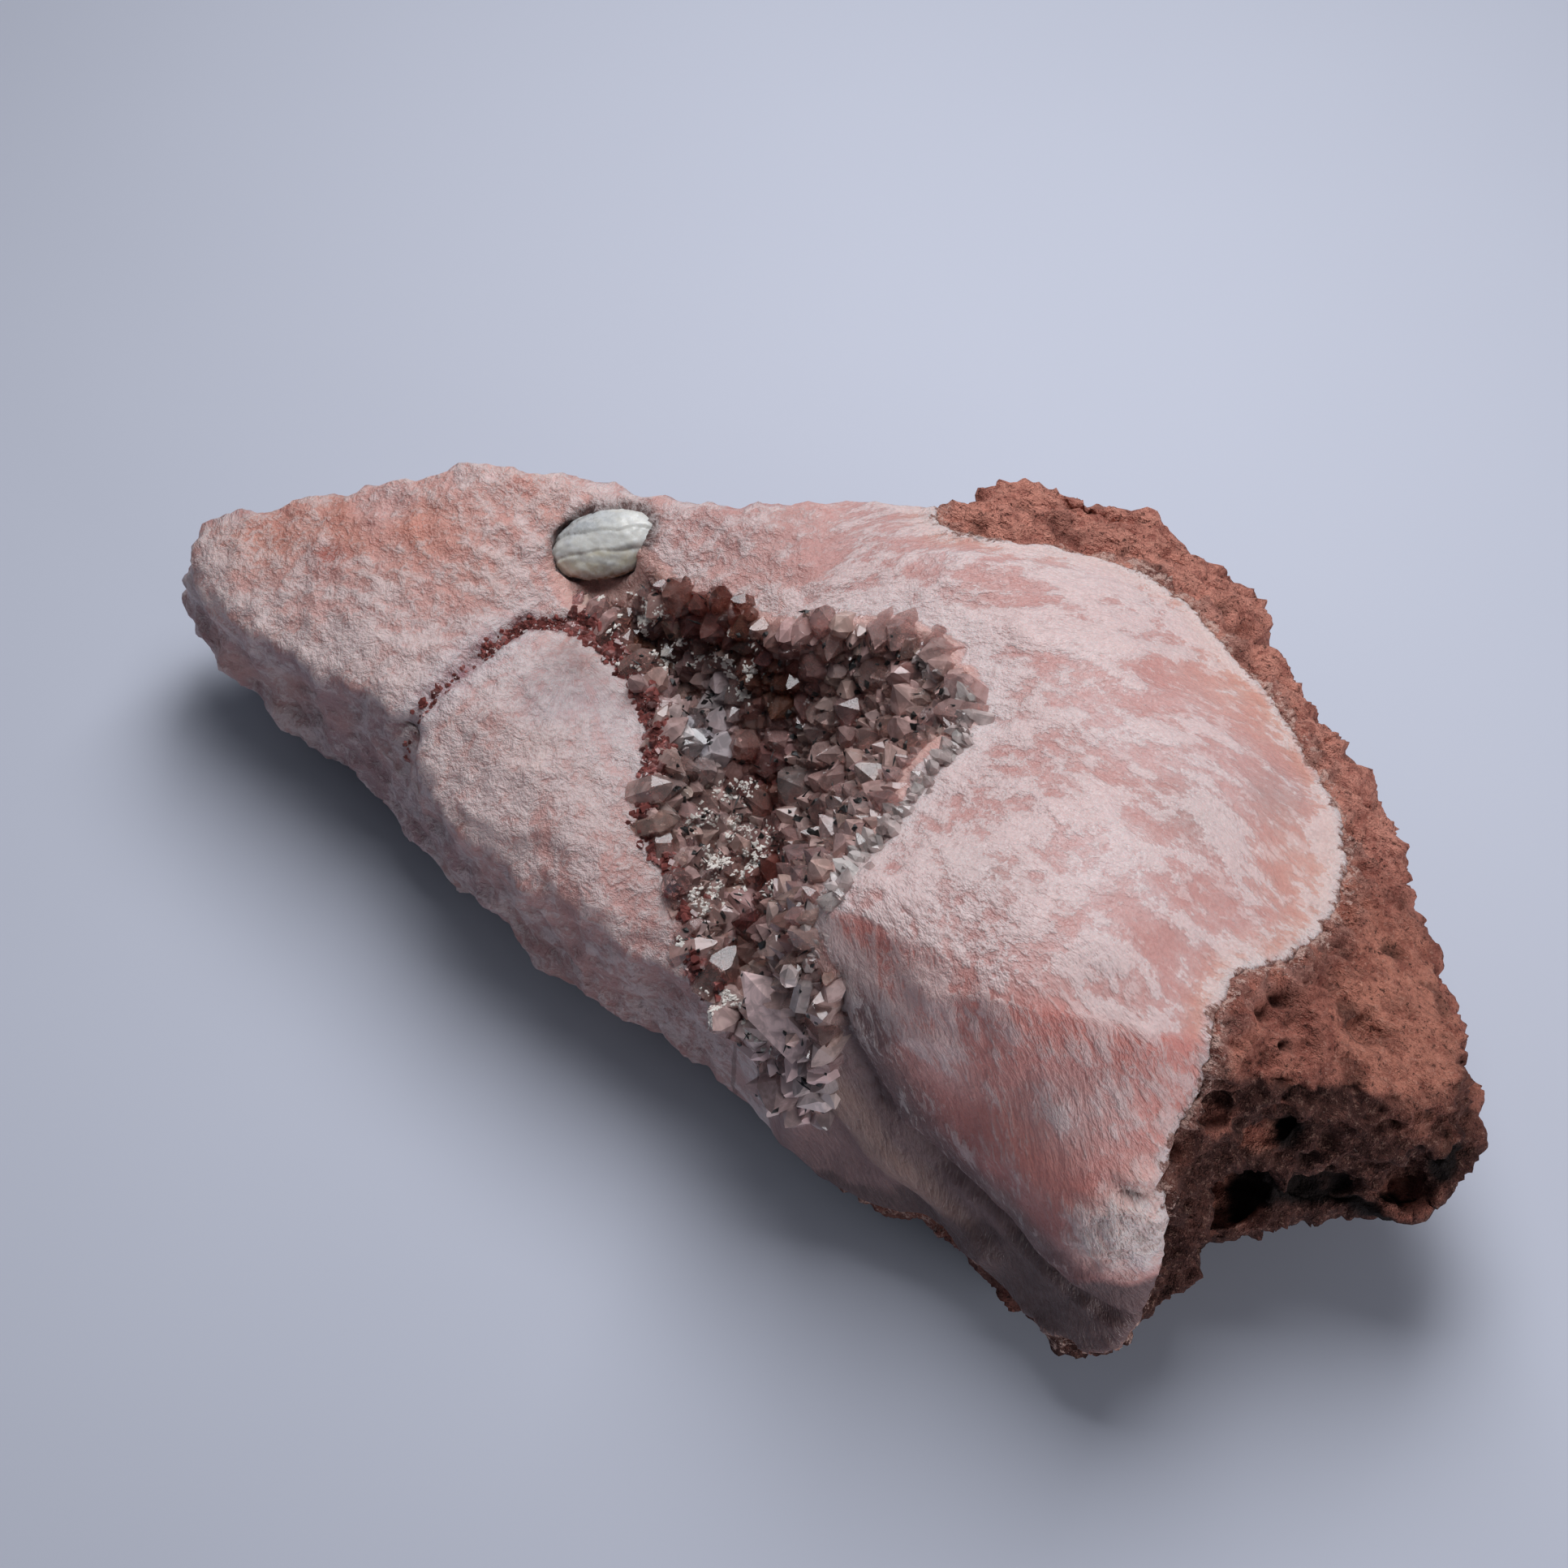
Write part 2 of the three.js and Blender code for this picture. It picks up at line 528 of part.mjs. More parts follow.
addPiece('calcite_vein', calciteVein(rock), 0xd9b3ab, 0.55);
addPiece('host_rock', hostRock(rock), 0x7a4636, 0.95);
addPiece('quartz_crust', quartzCrust(wall), 0x9c7a74, 0.12);
addPiece('calcite_blade', blade(0), 0xd8d8cc, 0.45);

export default specimen;
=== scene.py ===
"""Calcite with quartz: the looks of a hand specimen of pink vein calcite with a quartz-lined vug, on red-brown rock.

Lengths in this script are millimetres, in the frame of the CAD model, and become metres only in mesh_from().
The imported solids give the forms. The script refines their surfaces, colours them by mineral, and adds what is too fine
for the solids: the small quartz points, the dark seam crystals, the white powder and the black specks.
"""
import math

import bpy
import numpy as np
from mathutils import Matrix, Vector
from mathutils.bvhtree import BVHTree


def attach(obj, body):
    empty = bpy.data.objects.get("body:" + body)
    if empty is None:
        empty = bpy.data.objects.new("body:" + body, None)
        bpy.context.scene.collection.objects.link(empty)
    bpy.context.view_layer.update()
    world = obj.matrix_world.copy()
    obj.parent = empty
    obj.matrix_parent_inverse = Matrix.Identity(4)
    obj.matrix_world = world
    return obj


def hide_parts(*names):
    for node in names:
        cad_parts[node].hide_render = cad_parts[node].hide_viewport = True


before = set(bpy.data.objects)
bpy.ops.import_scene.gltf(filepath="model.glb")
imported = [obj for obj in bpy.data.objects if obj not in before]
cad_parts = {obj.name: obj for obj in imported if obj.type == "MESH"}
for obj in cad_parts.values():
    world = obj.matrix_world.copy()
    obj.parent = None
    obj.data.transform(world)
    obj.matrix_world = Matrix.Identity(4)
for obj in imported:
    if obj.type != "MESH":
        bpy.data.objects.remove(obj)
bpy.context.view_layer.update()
MM = 0.001

# ---------------------------------------------------------------- landmarks, in millimetres

FIBRE_CENTRE = (-26.7, -2.2)  # the fibres of the whole vein spread from here
SEAM = [  # dark red line between the two parts of the left lobe, then down the vug's left edge
    (-39.5, -18.5), (-37.6, -16.6), (-35.5, -10.0), (-32.2, -1.0), (-28.0, 1.2), (-24.9, 1.4), (-18.7, -1.2),
    (-14.0, -6.0), (-11.5, -10.7), (-9.5, -16.0), (-2.8, -19.7), (1.7, -26.3), (7.2, -28.3),
]
NOTCH = (-38.0, -17.5, 26.0)  # dark red, at the seam's near end
CREVICE = [  # dark crack behind the broken near corner
    (43.6, -32.5, 31.5), (45.6, -32.2, 30.2), (47.4, -30.6, 31.0), (49.2, -29.6, 30.0), (51.5, -27.6, 30.4),
]
CREASE = [  # furrow down the near slope of the right lobe, painted dark grey along it as shade
    (15.5, -26.5, 41.0), (17.7, -28.2, 36.9), (20.5, -29.4, 30.5), (23.9, -30.4, 25.1), (31.1, -31.5, 19.5),
    (38.1, -32.8, 19.0), (45.0, -34.4, 17.6), (51.0, -35.6, 16.5),
]
LEDGE = [  # grey-brown shelf below the furrow
    (16.0, -30.8, 27.0), (18.7, -30.9, 24.1), (24.7, -31.5, 18.1), (31.7, -32.2, 13.9), (37.0, -33.4, 12.5),
]

# ---------------------------------------------------------------- noise

OCTAVE_SHIFT, CREST_SHIFT = 17.3, 9.1  # keep the rounds of a noise from lying on each other
CELL_HASH, CELL_ROWS = (73, 1259, 2707), 4096
FAR = 1e9


class Noise:
    """Gradient noise over millimetre points, from about -1 to 1."""

    def __init__(self, seed):
        rng = np.random.default_rng(seed)
        self.order = rng.permutation(256)
        grads = rng.normal(size=(256, 3))
        self.grads = grads / np.linalg.norm(grads, axis=1)[:, None]

    def __call__(self, points, size):
        p = points / size
        cell = np.floor(p).astype(int)
        f = p - cell
        ease = f * f * f * (f * (f * 6 - 15) + 10)
        total = np.zeros(len(p))
        for corner in np.ndindex(2, 2, 2):
            x, y, z = (cell + corner).T & 255
            h = self.order[(self.order[(self.order[x] + y) & 255] + z) & 255]
            dot = ((f - corner) * self.grads[h]).sum(1)
            total += dot * np.where(corner, ease, 1 - ease).prod(1)
        return 1.7 * total

    def octaves(self, points, size, count=3):
        """Rounds of the noise, each half as large and as strong as the one before."""
        return sum(0.5**i * self(points + OCTAVE_SHIFT * i, size / 2**i) for i in range(count))


def ridged(noise, points, size):
    """Sharp crests with hollows between them, from about -1 to 0.5."""
    return sum(0.55**i * (0.5 - 2 * np.abs(noise(points + CREST_SHIFT * i, size / 2**i))) for i in range(3))


def nearby_cells(points, size):
    """For each of the 27 cells round the points: the way from the cell's corner to them, and its row in a table."""
    p = points / size
    base = np.floor(p).astype(int)
    for offset in np.ndindex(3, 3, 3):
        c = base + offset - 1
        yield p - c, (c * CELL_HASH).sum(1) % CELL_ROWS


def cells(points, size, seed):
    """Distance to the nearest scattered point over size, and that point's own number from 0 to 1."""
    table = np.random.default_rng(seed).random((CELL_ROWS, 4))
    best = np.full(len(points), FAR)
    own = np.zeros(len(points))
    for away, row in nearby_cells(points, size):
        d = np.linalg.norm(away - table[row, :3], axis=1)
        own = np.where(d < best, table[row, 3], own)
        best = np.minimum(best, d)
    return best, own


def scoops(points, size, seed):
    """Shallow dishes with crisp rims between them, like broken crystal: about -0.3 in a dish and 0.3 on a rim."""
    rng = np.random.default_rng(seed)
    table, lean = rng.random((CELL_ROWS, 4)), rng.normal(0, 0.28, (CELL_ROWS, 3))
    best = np.full(len(points), FAR)
    for away, row in nearby_cells(points, size):
        away = away - table[row, :3]
        best = np.minimum(best, (away * away).sum(1) + (away * lean[row]).sum(1) + 0.3 * table[row, 3])
    return best - 0.3


def ramp(x, low, high):
    """0 below low, 1 above high, smooth between; low may be the greater."""
    t = np.clip((x - low) / (high - low), 0, 1)
    return t * t * (3 - 2 * t)


def blob(points, centre, radii):
    """1 at the centre of a soft spot, 0 beyond its radii."""
    centre, radii = np.array(centre, float), np.array(radii, float)
    n = len(centre)
    return ramp(np.linalg.norm((points[:, :n] - centre) / radii, axis=1), 1, 0)


def line_distance(points, line):
    """Distance to a line of points, in plan if they are flat, and how far along it the nearest place is."""
    line = np.array(line, float)
    points = points[:, : line.shape[1]]
    best = np.full(len(points), FAR)
    along = np.zeros(len(points))
    for i, (a, b) in enumerate(zip(line[:-1], line[1:])):
        t = np.clip((points - a) @ (b - a) / ((b - a) @ (b - a)), 0, 1)
        d = np.linalg.norm(points - a - t[:, None] * (b - a), axis=1)
        along = np.where(d < best, i + t, along)
        best = np.minimum(best, d)
    return best, along


def unit(vector):
    """The same direction with length 1."""
    return vector / np.linalg.norm(vector)


# ---------------------------------------------------------------- meshes


def added(name, data):
    """A new object in the scene."""
    thing = bpy.data.objects.new(name, data)
    bpy.context.scene.collection.objects.link(thing)
    return thing


def mesh_from(name, points, faces, material, replaces=(), smooth=False):
    """A piece of the object from millimetre points."""
    mesh = bpy.data.meshes.new(name)
    mesh.from_pydata((np.asarray(points) * MM).tolist(), [], faces)
    mesh.shade_smooth() if smooth else mesh.shade_flat()
    piece = added(name, mesh)
    mesh.materials.append(material)
    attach(piece, "root")
    if replaces:
        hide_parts(*replaces)
    return piece


def refined(node, voxel, rounds, budget):
    """Points, unit normals and triangles of a CAD solid with an even fine mesh, its facets smoothed."""
    source = added("refine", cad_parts[node].data.copy())
    remesh = source.modifiers.new("remesh", "REMESH")
    remesh.mode, remesh.voxel_size = "VOXEL", voxel * MM
    smooth = source.modifiers.new("smooth", "SMOOTH")
    smooth.factor, smooth.iterations = 0.5, rounds
    evaluated = source.evaluated_get(bpy.context.evaluated_depsgraph_get())
    count = len(evaluated.data.polygons) * 2
    if count > budget:
        decimate = source.modifiers.new("decimate", "DECIMATE")
        decimate.ratio = budget / count
        evaluated = source.evaluated_get(bpy.context.evaluated_depsgraph_get())
    mesh = evaluated.to_mesh()
    mesh.calc_loop_triangles()
    points, normals, triangles = mesh_arrays(mesh)
    evaluated.to_mesh_clear()
    bpy.data.objects.remove(source)
    return points, normals, triangles


def mesh_arrays(mesh):
    """Points in millimetres, unit normals and triangles of a mesh."""
    points = np.empty(len(mesh.vertices) * 3)
    mesh.vertices.foreach_get("co", points)
    normals = np.empty(len(mesh.vertices) * 3)
    mesh.vertex_normals.foreach_get("vector", normals)
    triangles = np.empty(len(mesh.loop_triangles) * 3, int)
    mesh.loop_triangles.foreach_get("vertices", triangles)
    return points.reshape(-1, 3) / MM, normals.reshape(-1, 3), triangles.reshape(-1, 3)


def node_arrays(node):
    """Points, unit normals and triangles of a CAD solid as it is."""
    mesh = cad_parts[node].data
    mesh.calc_loop_triangles()
    return mesh_arrays(mesh)


def tree_of(node):
    """A CAD solid's surface, ready for finding the nearest place on it."""
    points, _, triangles = node_arrays(node)
    return BVHTree.FromPolygons(points.tolist(), triangles.tolist())


def distance_to(tree, points, reach):
    """Distance of each point to a solid's surface, up to reach."""
    found = (tree.find_nearest(Vector(p), reach)[3] for p in points)
    return np.array([reach if d is None else d for d in found])


def put(piece, **attributes):
    """Stores one value, vector or colour for each vertex."""
    for name, values in attributes.items():
        values = np.asarray(values, np.float32).reshape(len(piece.data.vertices), -1)
        kind, key = {1: ("FLOAT", "value"), 3: ("FLOAT_VECTOR", "vector"), 4: ("FLOAT_COLOR", "color")}[values.shape[1]]
        piece.data.attributes.new(name, kind, "POINT").data.foreach_set(key, values.ravel())


def mixed(base, *layers):
    """Colours for each vertex: base, then each (colour, weight) laid over it."""
    size = len(layers[0][1])
    colour = np.tile(np.array(base, float), (size, 1))
    for over, weight in layers:
        w = np.clip(weight, 0, 1)[:, None]
        colour = colour * (1 - w) + np.array(over) * w
    return np.column_stack([colour, np.ones(size)])


# ---------------------------------------------------------------- materials


class Material:
    """A node material, built from the surface shader backwards."""

    def __init__(self, name):
        self.data = bpy.data.materials.new(name)
        self.data.use_nodes = True
        self.nodes, self.links = self.data.node_tree.nodes, self.data.node_tree.links

    def feed(self, socket, value):
        """Links a socket, or gives it a number, a vector or a colour."""
        if isinstance(value, bpy.types.NodeSocket):
            self.links.new(value, socket)
        else:
            socket.default_value = (*value, 1) if socket.type == "RGBA" else value

    def node(self, kind, settings=(), **values):
        """A new node with its settings and its named inputs."""
        node = self.nodes.new("ShaderNode" + kind)
        for key, value in dict(settings).items():
            setattr(node, key, value)
        for key, value in values.items():
            self.feed(node.inputs[key], value)
        return node

    def attribute(self, name, output="Fac"):
        return self.node("Attribute", {"attribute_name": name}).outputs[output]

    def place(self):
        """Millimetre coordinates of the surface point."""
        spot = self.node("TexCoord").outputs["Object"]
        return self.node("VectorMath", {"operation": "SCALE"}, Vector=spot, Scale=1 / MM).outputs["Vector"]

    def noise(self, vector, size, detail, roughness=0.55, distortion=0.0):
        return self.node(
            "TexNoise", Vector=vector, Scale=1 / size, Detail=detail, Roughness=roughness, Distortion=distortion
        ).outputs["Fac"]

    def range(self, value, low, high, to_low=0.0, to_high=1.0):
        node = self.node("MapRange", {"interpolation_type": "SMOOTHSTEP"})
        for socket, number in zip(node.inputs, (value, low, high, to_low, to_high)):
            self.feed(socket, number)
        return node.outputs["Result"]

    def math(self, operation, a, b=0.0):
        node = self.node("Math", {"operation": operation})
        self.feed(node.inputs[0], a)
        self.feed(node.inputs[1], b)
        return node.outputs[0]

    def plus(self, first, *others):
        for other in others:
            first = self.math("ADD", first, other)
        return first

    def times(self, a, b):
        return self.math("MULTIPLY", a, b)

    def mix(self, factor, a, b, blend="MIX"):
        node = self.node("Mix", {"data_type": "RGBA", "blend_type": blend})
        for place, value in ((0, factor), (6, a), (7, b)):
            self.feed(node.inputs[place], value)
        return node.outputs[2]

    def blend(self, factor, a, b):
        """A number from a to b by factor."""
        return self.plus(a, self.times(factor, self.math("SUBTRACT", b, a)))

    def bump(self, height, depth, strength=1.0, **after):
        return self.node("Bump", Height=height, Distance=depth * MM, Strength=strength, **after).outputs["Normal"]

    def surface(self, **values):
        """Feeds the surface shader and hands back the finished material."""
        for key, value in values.items():
            self.feed(self.nodes["Principled BSDF"].inputs[key.replace("_", " ")], value)
        return self.data


def calcite_material():
    """Translucent broken calcite: white cleavage flakes with ragged edges and a painted highlight along them, over the
    tints of the vertices, with painted shade in the low spots of the cracked corner.
    """
    m = Material("calcite")
    grain, drift, place = m.attribute("grain", "Vector"), m.attribute("drift", "Vector"), m.place()
    tint, white, streaked = m.attribute("tint", "Color"), m.attribute("white"), m.attribute("streaked")
    contact, cracked = m.attribute("contact"), m.attribute("cracked")
    along, free = m.noise(grain, 1.6, 4, 0.68), m.noise(drift, 1.4, 4, 0.70, 0.5)
    small = m.blend(streaked, m.noise(drift, 0.62, 3, 0.65), m.noise(grain, 0.75, 3, 0.70))
    fine = m.noise(place, 0.38, 3, 0.75)
    crumbled = m.noise(drift, 1.1, 4, 0.76)

    ragged = m.math("SUBTRACT", m.blend(streaked, free, along), 0.5)
    field = m.plus(white, m.times(ragged, 2.6))
    flakes = m.blend(streaked, m.range(field, 0.30, 0.85), m.range(field, 0.40, 0.72))
    scales = m.range(m.plus(small, m.times(white, 0.12)), 0.56, 0.66)
    flakes = m.math("MAXIMUM", flakes, m.times(scales, m.range(white, -0.3, 0.2, 0.0, 0.60)))
    # painted highlight: a pale line along the edges of the flakes
    edge = m.range(m.math("ABSOLUTE", m.math("SUBTRACT", field, 0.57)), 0.07, 0.02, 0.0, 0.7)
    haze = m.range(field, 0.10, 0.60)
    colour = m.mix(m.times(haze, 0.35), m.mix(0.75, tint, (0.90, 0.66, 0.62), "MULTIPLY"), tint)
    colour = m.mix(m.times(haze, 0.45), colour, tint)
    colour = m.mix(m.times(flakes, 0.82), colour, m.mix(0.30, (0.90, 0.745, 0.72), tint))
    colour = m.mix(m.times(edge, m.blend(streaked, 0.35, 0.45)), colour, (0.97, 0.87, 0.85))

    dirt = m.range(m.plus(crumbled, m.times(contact, 0.32)), 0.74, 0.84)
    colour = m.mix(dirt, colour, m.mix(m.range(fine, 0.4, 0.6), (0.24, 0.10, 0.075), (0.50, 0.30, 0.25)))
    # painted shade: darker in the low spots of the cracked corner's crumbled relief
    crack_shade = m.times(m.range(crumbled, 0.45, 0.36), cracked)
    colour = m.mix(m.times(crack_shade, 0.6), colour, (0.42, 0.31, 0.28))
    speckle = m.mix(m.range(fine, 0.30, 0.70), (0.74, 0.70, 0.70), (1.0, 1.0, 1.0))
    colour = m.mix(0.5, colour, speckle, "MULTIPLY")

    relief = m.bump(m.plus(m.times(flakes, 0.22), m.times(field, 0.6), m.times(small, 1.1)), 0.50, 0.8)
    relief = m.bump(m.times(crumbled, m.math("MAXIMUM", contact, cracked)), 1.2, 0.8, Normal=relief)
    return m.surface(
        Base_Color=colour, Roughness=m.range(small, 0.35, 0.65, 0.32, 0.60), Normal=relief,
        Specular_IOR_Level=0.5, Subsurface_Weight=0.35, Subsurface_Radius=(1.0, 0.55, 0.48), Subsurface_Scale=0.0024,
    )


def host_material():
    """Crumbly vesicular rock: brushed grains and pale flecks over the tints of the vertices, painted black as shade in
    the hollows.
    """
    m = Material("host_rock")
    place = m.place()
    tint, hollow, contact = m.attribute("tint", "Color"), m.attribute("hollow"), m.attribute("contact")
    streak = m.node("VectorMath", {"operation": "MULTIPLY"}, Vector=place)
    streak.inputs[1].default_value = (0.35, 1.6, 1.0)
    mottle, grains = m.noise(place, 2.6, 5, 0.74), m.noise(place, 0.6, 3, 0.80)
    brushed = m.noise(streak.outputs["Vector"], 0.8, 3, 0.7)
    flecks = m.range(m.noise(place, 0.33, 2, 0.6), 0.68, 0.74, 0.0, 0.6)
    chalk = m.range(m.plus(m.noise(place, 0.8, 4, 0.8), m.times(contact, 0.24)), 0.70, 0.80, 0.0, 0.8)
    colour = m.mix(m.range(mottle, 0.36, 0.56), m.mix(1.0, tint, (0.58, 0.48, 0.48), "MULTIPLY"), tint)
    colour = m.mix(m.range(grains, 0.54, 0.68, 0.0, 0.5), colour, m.mix(0.5, (0.86, 0.50, 0.38), tint))
    colour = m.mix(m.range(brushed, 0.50, 0.36, 0.0, 0.45), colour, (0.22, 0.085, 0.065))
    colour = m.mix(m.range(grains, 0.44, 0.34, 0.0, 0.8), colour, (0.045, 0.018, 0.015))
    colour = m.mix(flecks, colour, m.mix(0.6, (0.60, 0.46, 0.40), tint))
    colour = m.mix(chalk, colour, (0.80, 0.53, 0.45))
    # painted shade: near black where the hollow mask is, in pores, caves and gaps between crests
    colour = m.mix(hollow, colour, (0.012, 0.006, 0.005))
    relief = m.bump(m.plus(m.times(mottle, 1.5), m.times(grains, 0.8), m.times(brushed, 0.4)), 0.9)
    return m.surface(Base_Color=colour, Roughness=0.9, Normal=relief, Specular_IOR_Level=0.25)


def quartz_material(name, absorbed, density):
    """Clear quartz that absorbs a little light inside, tinted and clouded crystal by crystal."""
    m = Material(name)
    ripple, cloud = m.noise(m.place(), 0.8, 3, 0.6), m.noise(m.place(), 1.6, 3, 0.6, 0.6)
    veil = m.times(m.range(cloud, 0.40, 0.64, 0.75, 1.25), m.attribute("haze"))
    inside = m.node("VolumeAbsorption", Color=absorbed, Density=density)
    m.feed(m.nodes["Material Output"].inputs["Volume"], inside.outputs["Volume"])
    return m.surface(
        Base_Color=m.mix(m.range(cloud, 0.50, 0.70, 0.0, 0.15), m.attribute("tint", "Color"), (0.90, 0.78, 0.76)),
        Roughness=m.range(ripple, 0.4, 0.62, 0.03, 0.11), IOR=1.545,
        Transmission_Weight=m.math("SUBTRACT", 1.0, veil), Normal=m.bump(ripple, 0.05, 0.08),
    )


def plain_mineral(name, light, dark, size, roughness):
    """A small opaque mineral with a mottled colour."""
    m = Material(name)
    mottle = m.noise(m.place(), size, 4, 0.6)
    colour = m.mix(m.range(mottle, 0.35, 0.65), dark, light)
    return m.surface(Base_Color=colour, Roughness=roughness, Normal=m.bump(mottle, 0.1, 0.6))


def blade_material():
    """Silky calcite, a little translucent."""
    m = Material("blade_calcite")
    silk = m.noise(m.place(), 0.6, 4, 0.6)
    return m.surface(
        Base_Color=m.mix(m.range(silk, 0.35, 0.65, 0.0, 0.4), m.attribute("tint", "Color"), (0.88, 0.88, 0.86)),
        Roughness=m.range(silk, 0.3, 0.7, 0.16, 0.36), Normal=m.bump(silk, 0.08, 0.5),
        Subsurface_Weight=0.3, Subsurface_Radius=(1.0, 0.9, 0.8), Subsurface_Scale=0.0012,
    )


# ---------------------------------------------------------------- vein calcite

rough = Noise(11)
coarse = Noise(12)

CREAM = (0.90, 0.66, 0.62)
WHITE = (0.90, 0.79, 0.79)
SALMON = (0.72, 0.455, 0.425)
PINK = (0.66, 0.40, 0.38)
ORANGE = (0.86, 0.42, 0.31)
APRICOT = (0.84, 0.53, 0.43)
RED = (0.58, 0.15, 0.11)
ROSE = (0.88, 0.42, 0.37)
LILAC = (0.80, 0.71, 0.75)
DUSKY_SHADE = (0.60, 0.25, 0.235)
GREY_SHADE = (0.20, 0.14, 0.145)
MAUVE_SHADE = (0.46, 0.34, 0.37)
TAUPE = (0.52, 0.42, 0.40)
BEIGE = (0.50, 0.39, 0.34)
LOW = (0.32, 0.25, 0.255)
PALE = (0.97, 0.85, 0.81)
DARK_RED = (0.12, 0.022, 0.026)
PURPLE = (0.42, 0.20, 0.25)
WALL = (0.90, 0.66, 0.60)
VUG_SHADE = (0.40, 0.17, 0.14)
SHADE = (0.10, 0.065, 0.06)
RIND = (0.165, 0.12, 0.12)

VEIN_MESH = (0.60, 8, 185_000)  # voxel, rounds of smoothing, most triangles
RIND_TOP = ((14, 23, 33, 40, 46, 50, 53), (7.5, 11.0, 14.5, 17.0, 19.0, 21.0, 22.5))  # x, and height of the rind there
LEFT_STAIN = ((-52, 3, 30), (26, 11, 9))  # centre and radii


def lifted(points, normals, lift):
    """Points moved along their normals, except those that the specimen rests on."""
    moved = points + normals * np.where(points[:, 2] < 0.2, 0, lift)[:, None]
    moved[:, 2] = np.maximum(moved[:, 2], 0)
    return moved


def grain_of(p):
    """Coordinates that change slowly along the fibres and fast across them."""
    bent = p + 1.6 * np.column_stack([coarse(p, 14.0), coarse(p + 40, 14.0), 0 * p[:, 0]])
    dx, dy = (bent[:, :2] - FIBRE_CENTRE).T
    radius = np.hypot(dx, dy)
    return np.column_stack([radius / 3.0, np.arctan2(dx, -dy) * 40.0, p[:, 2] / 1.5 + 0.4 * radius])


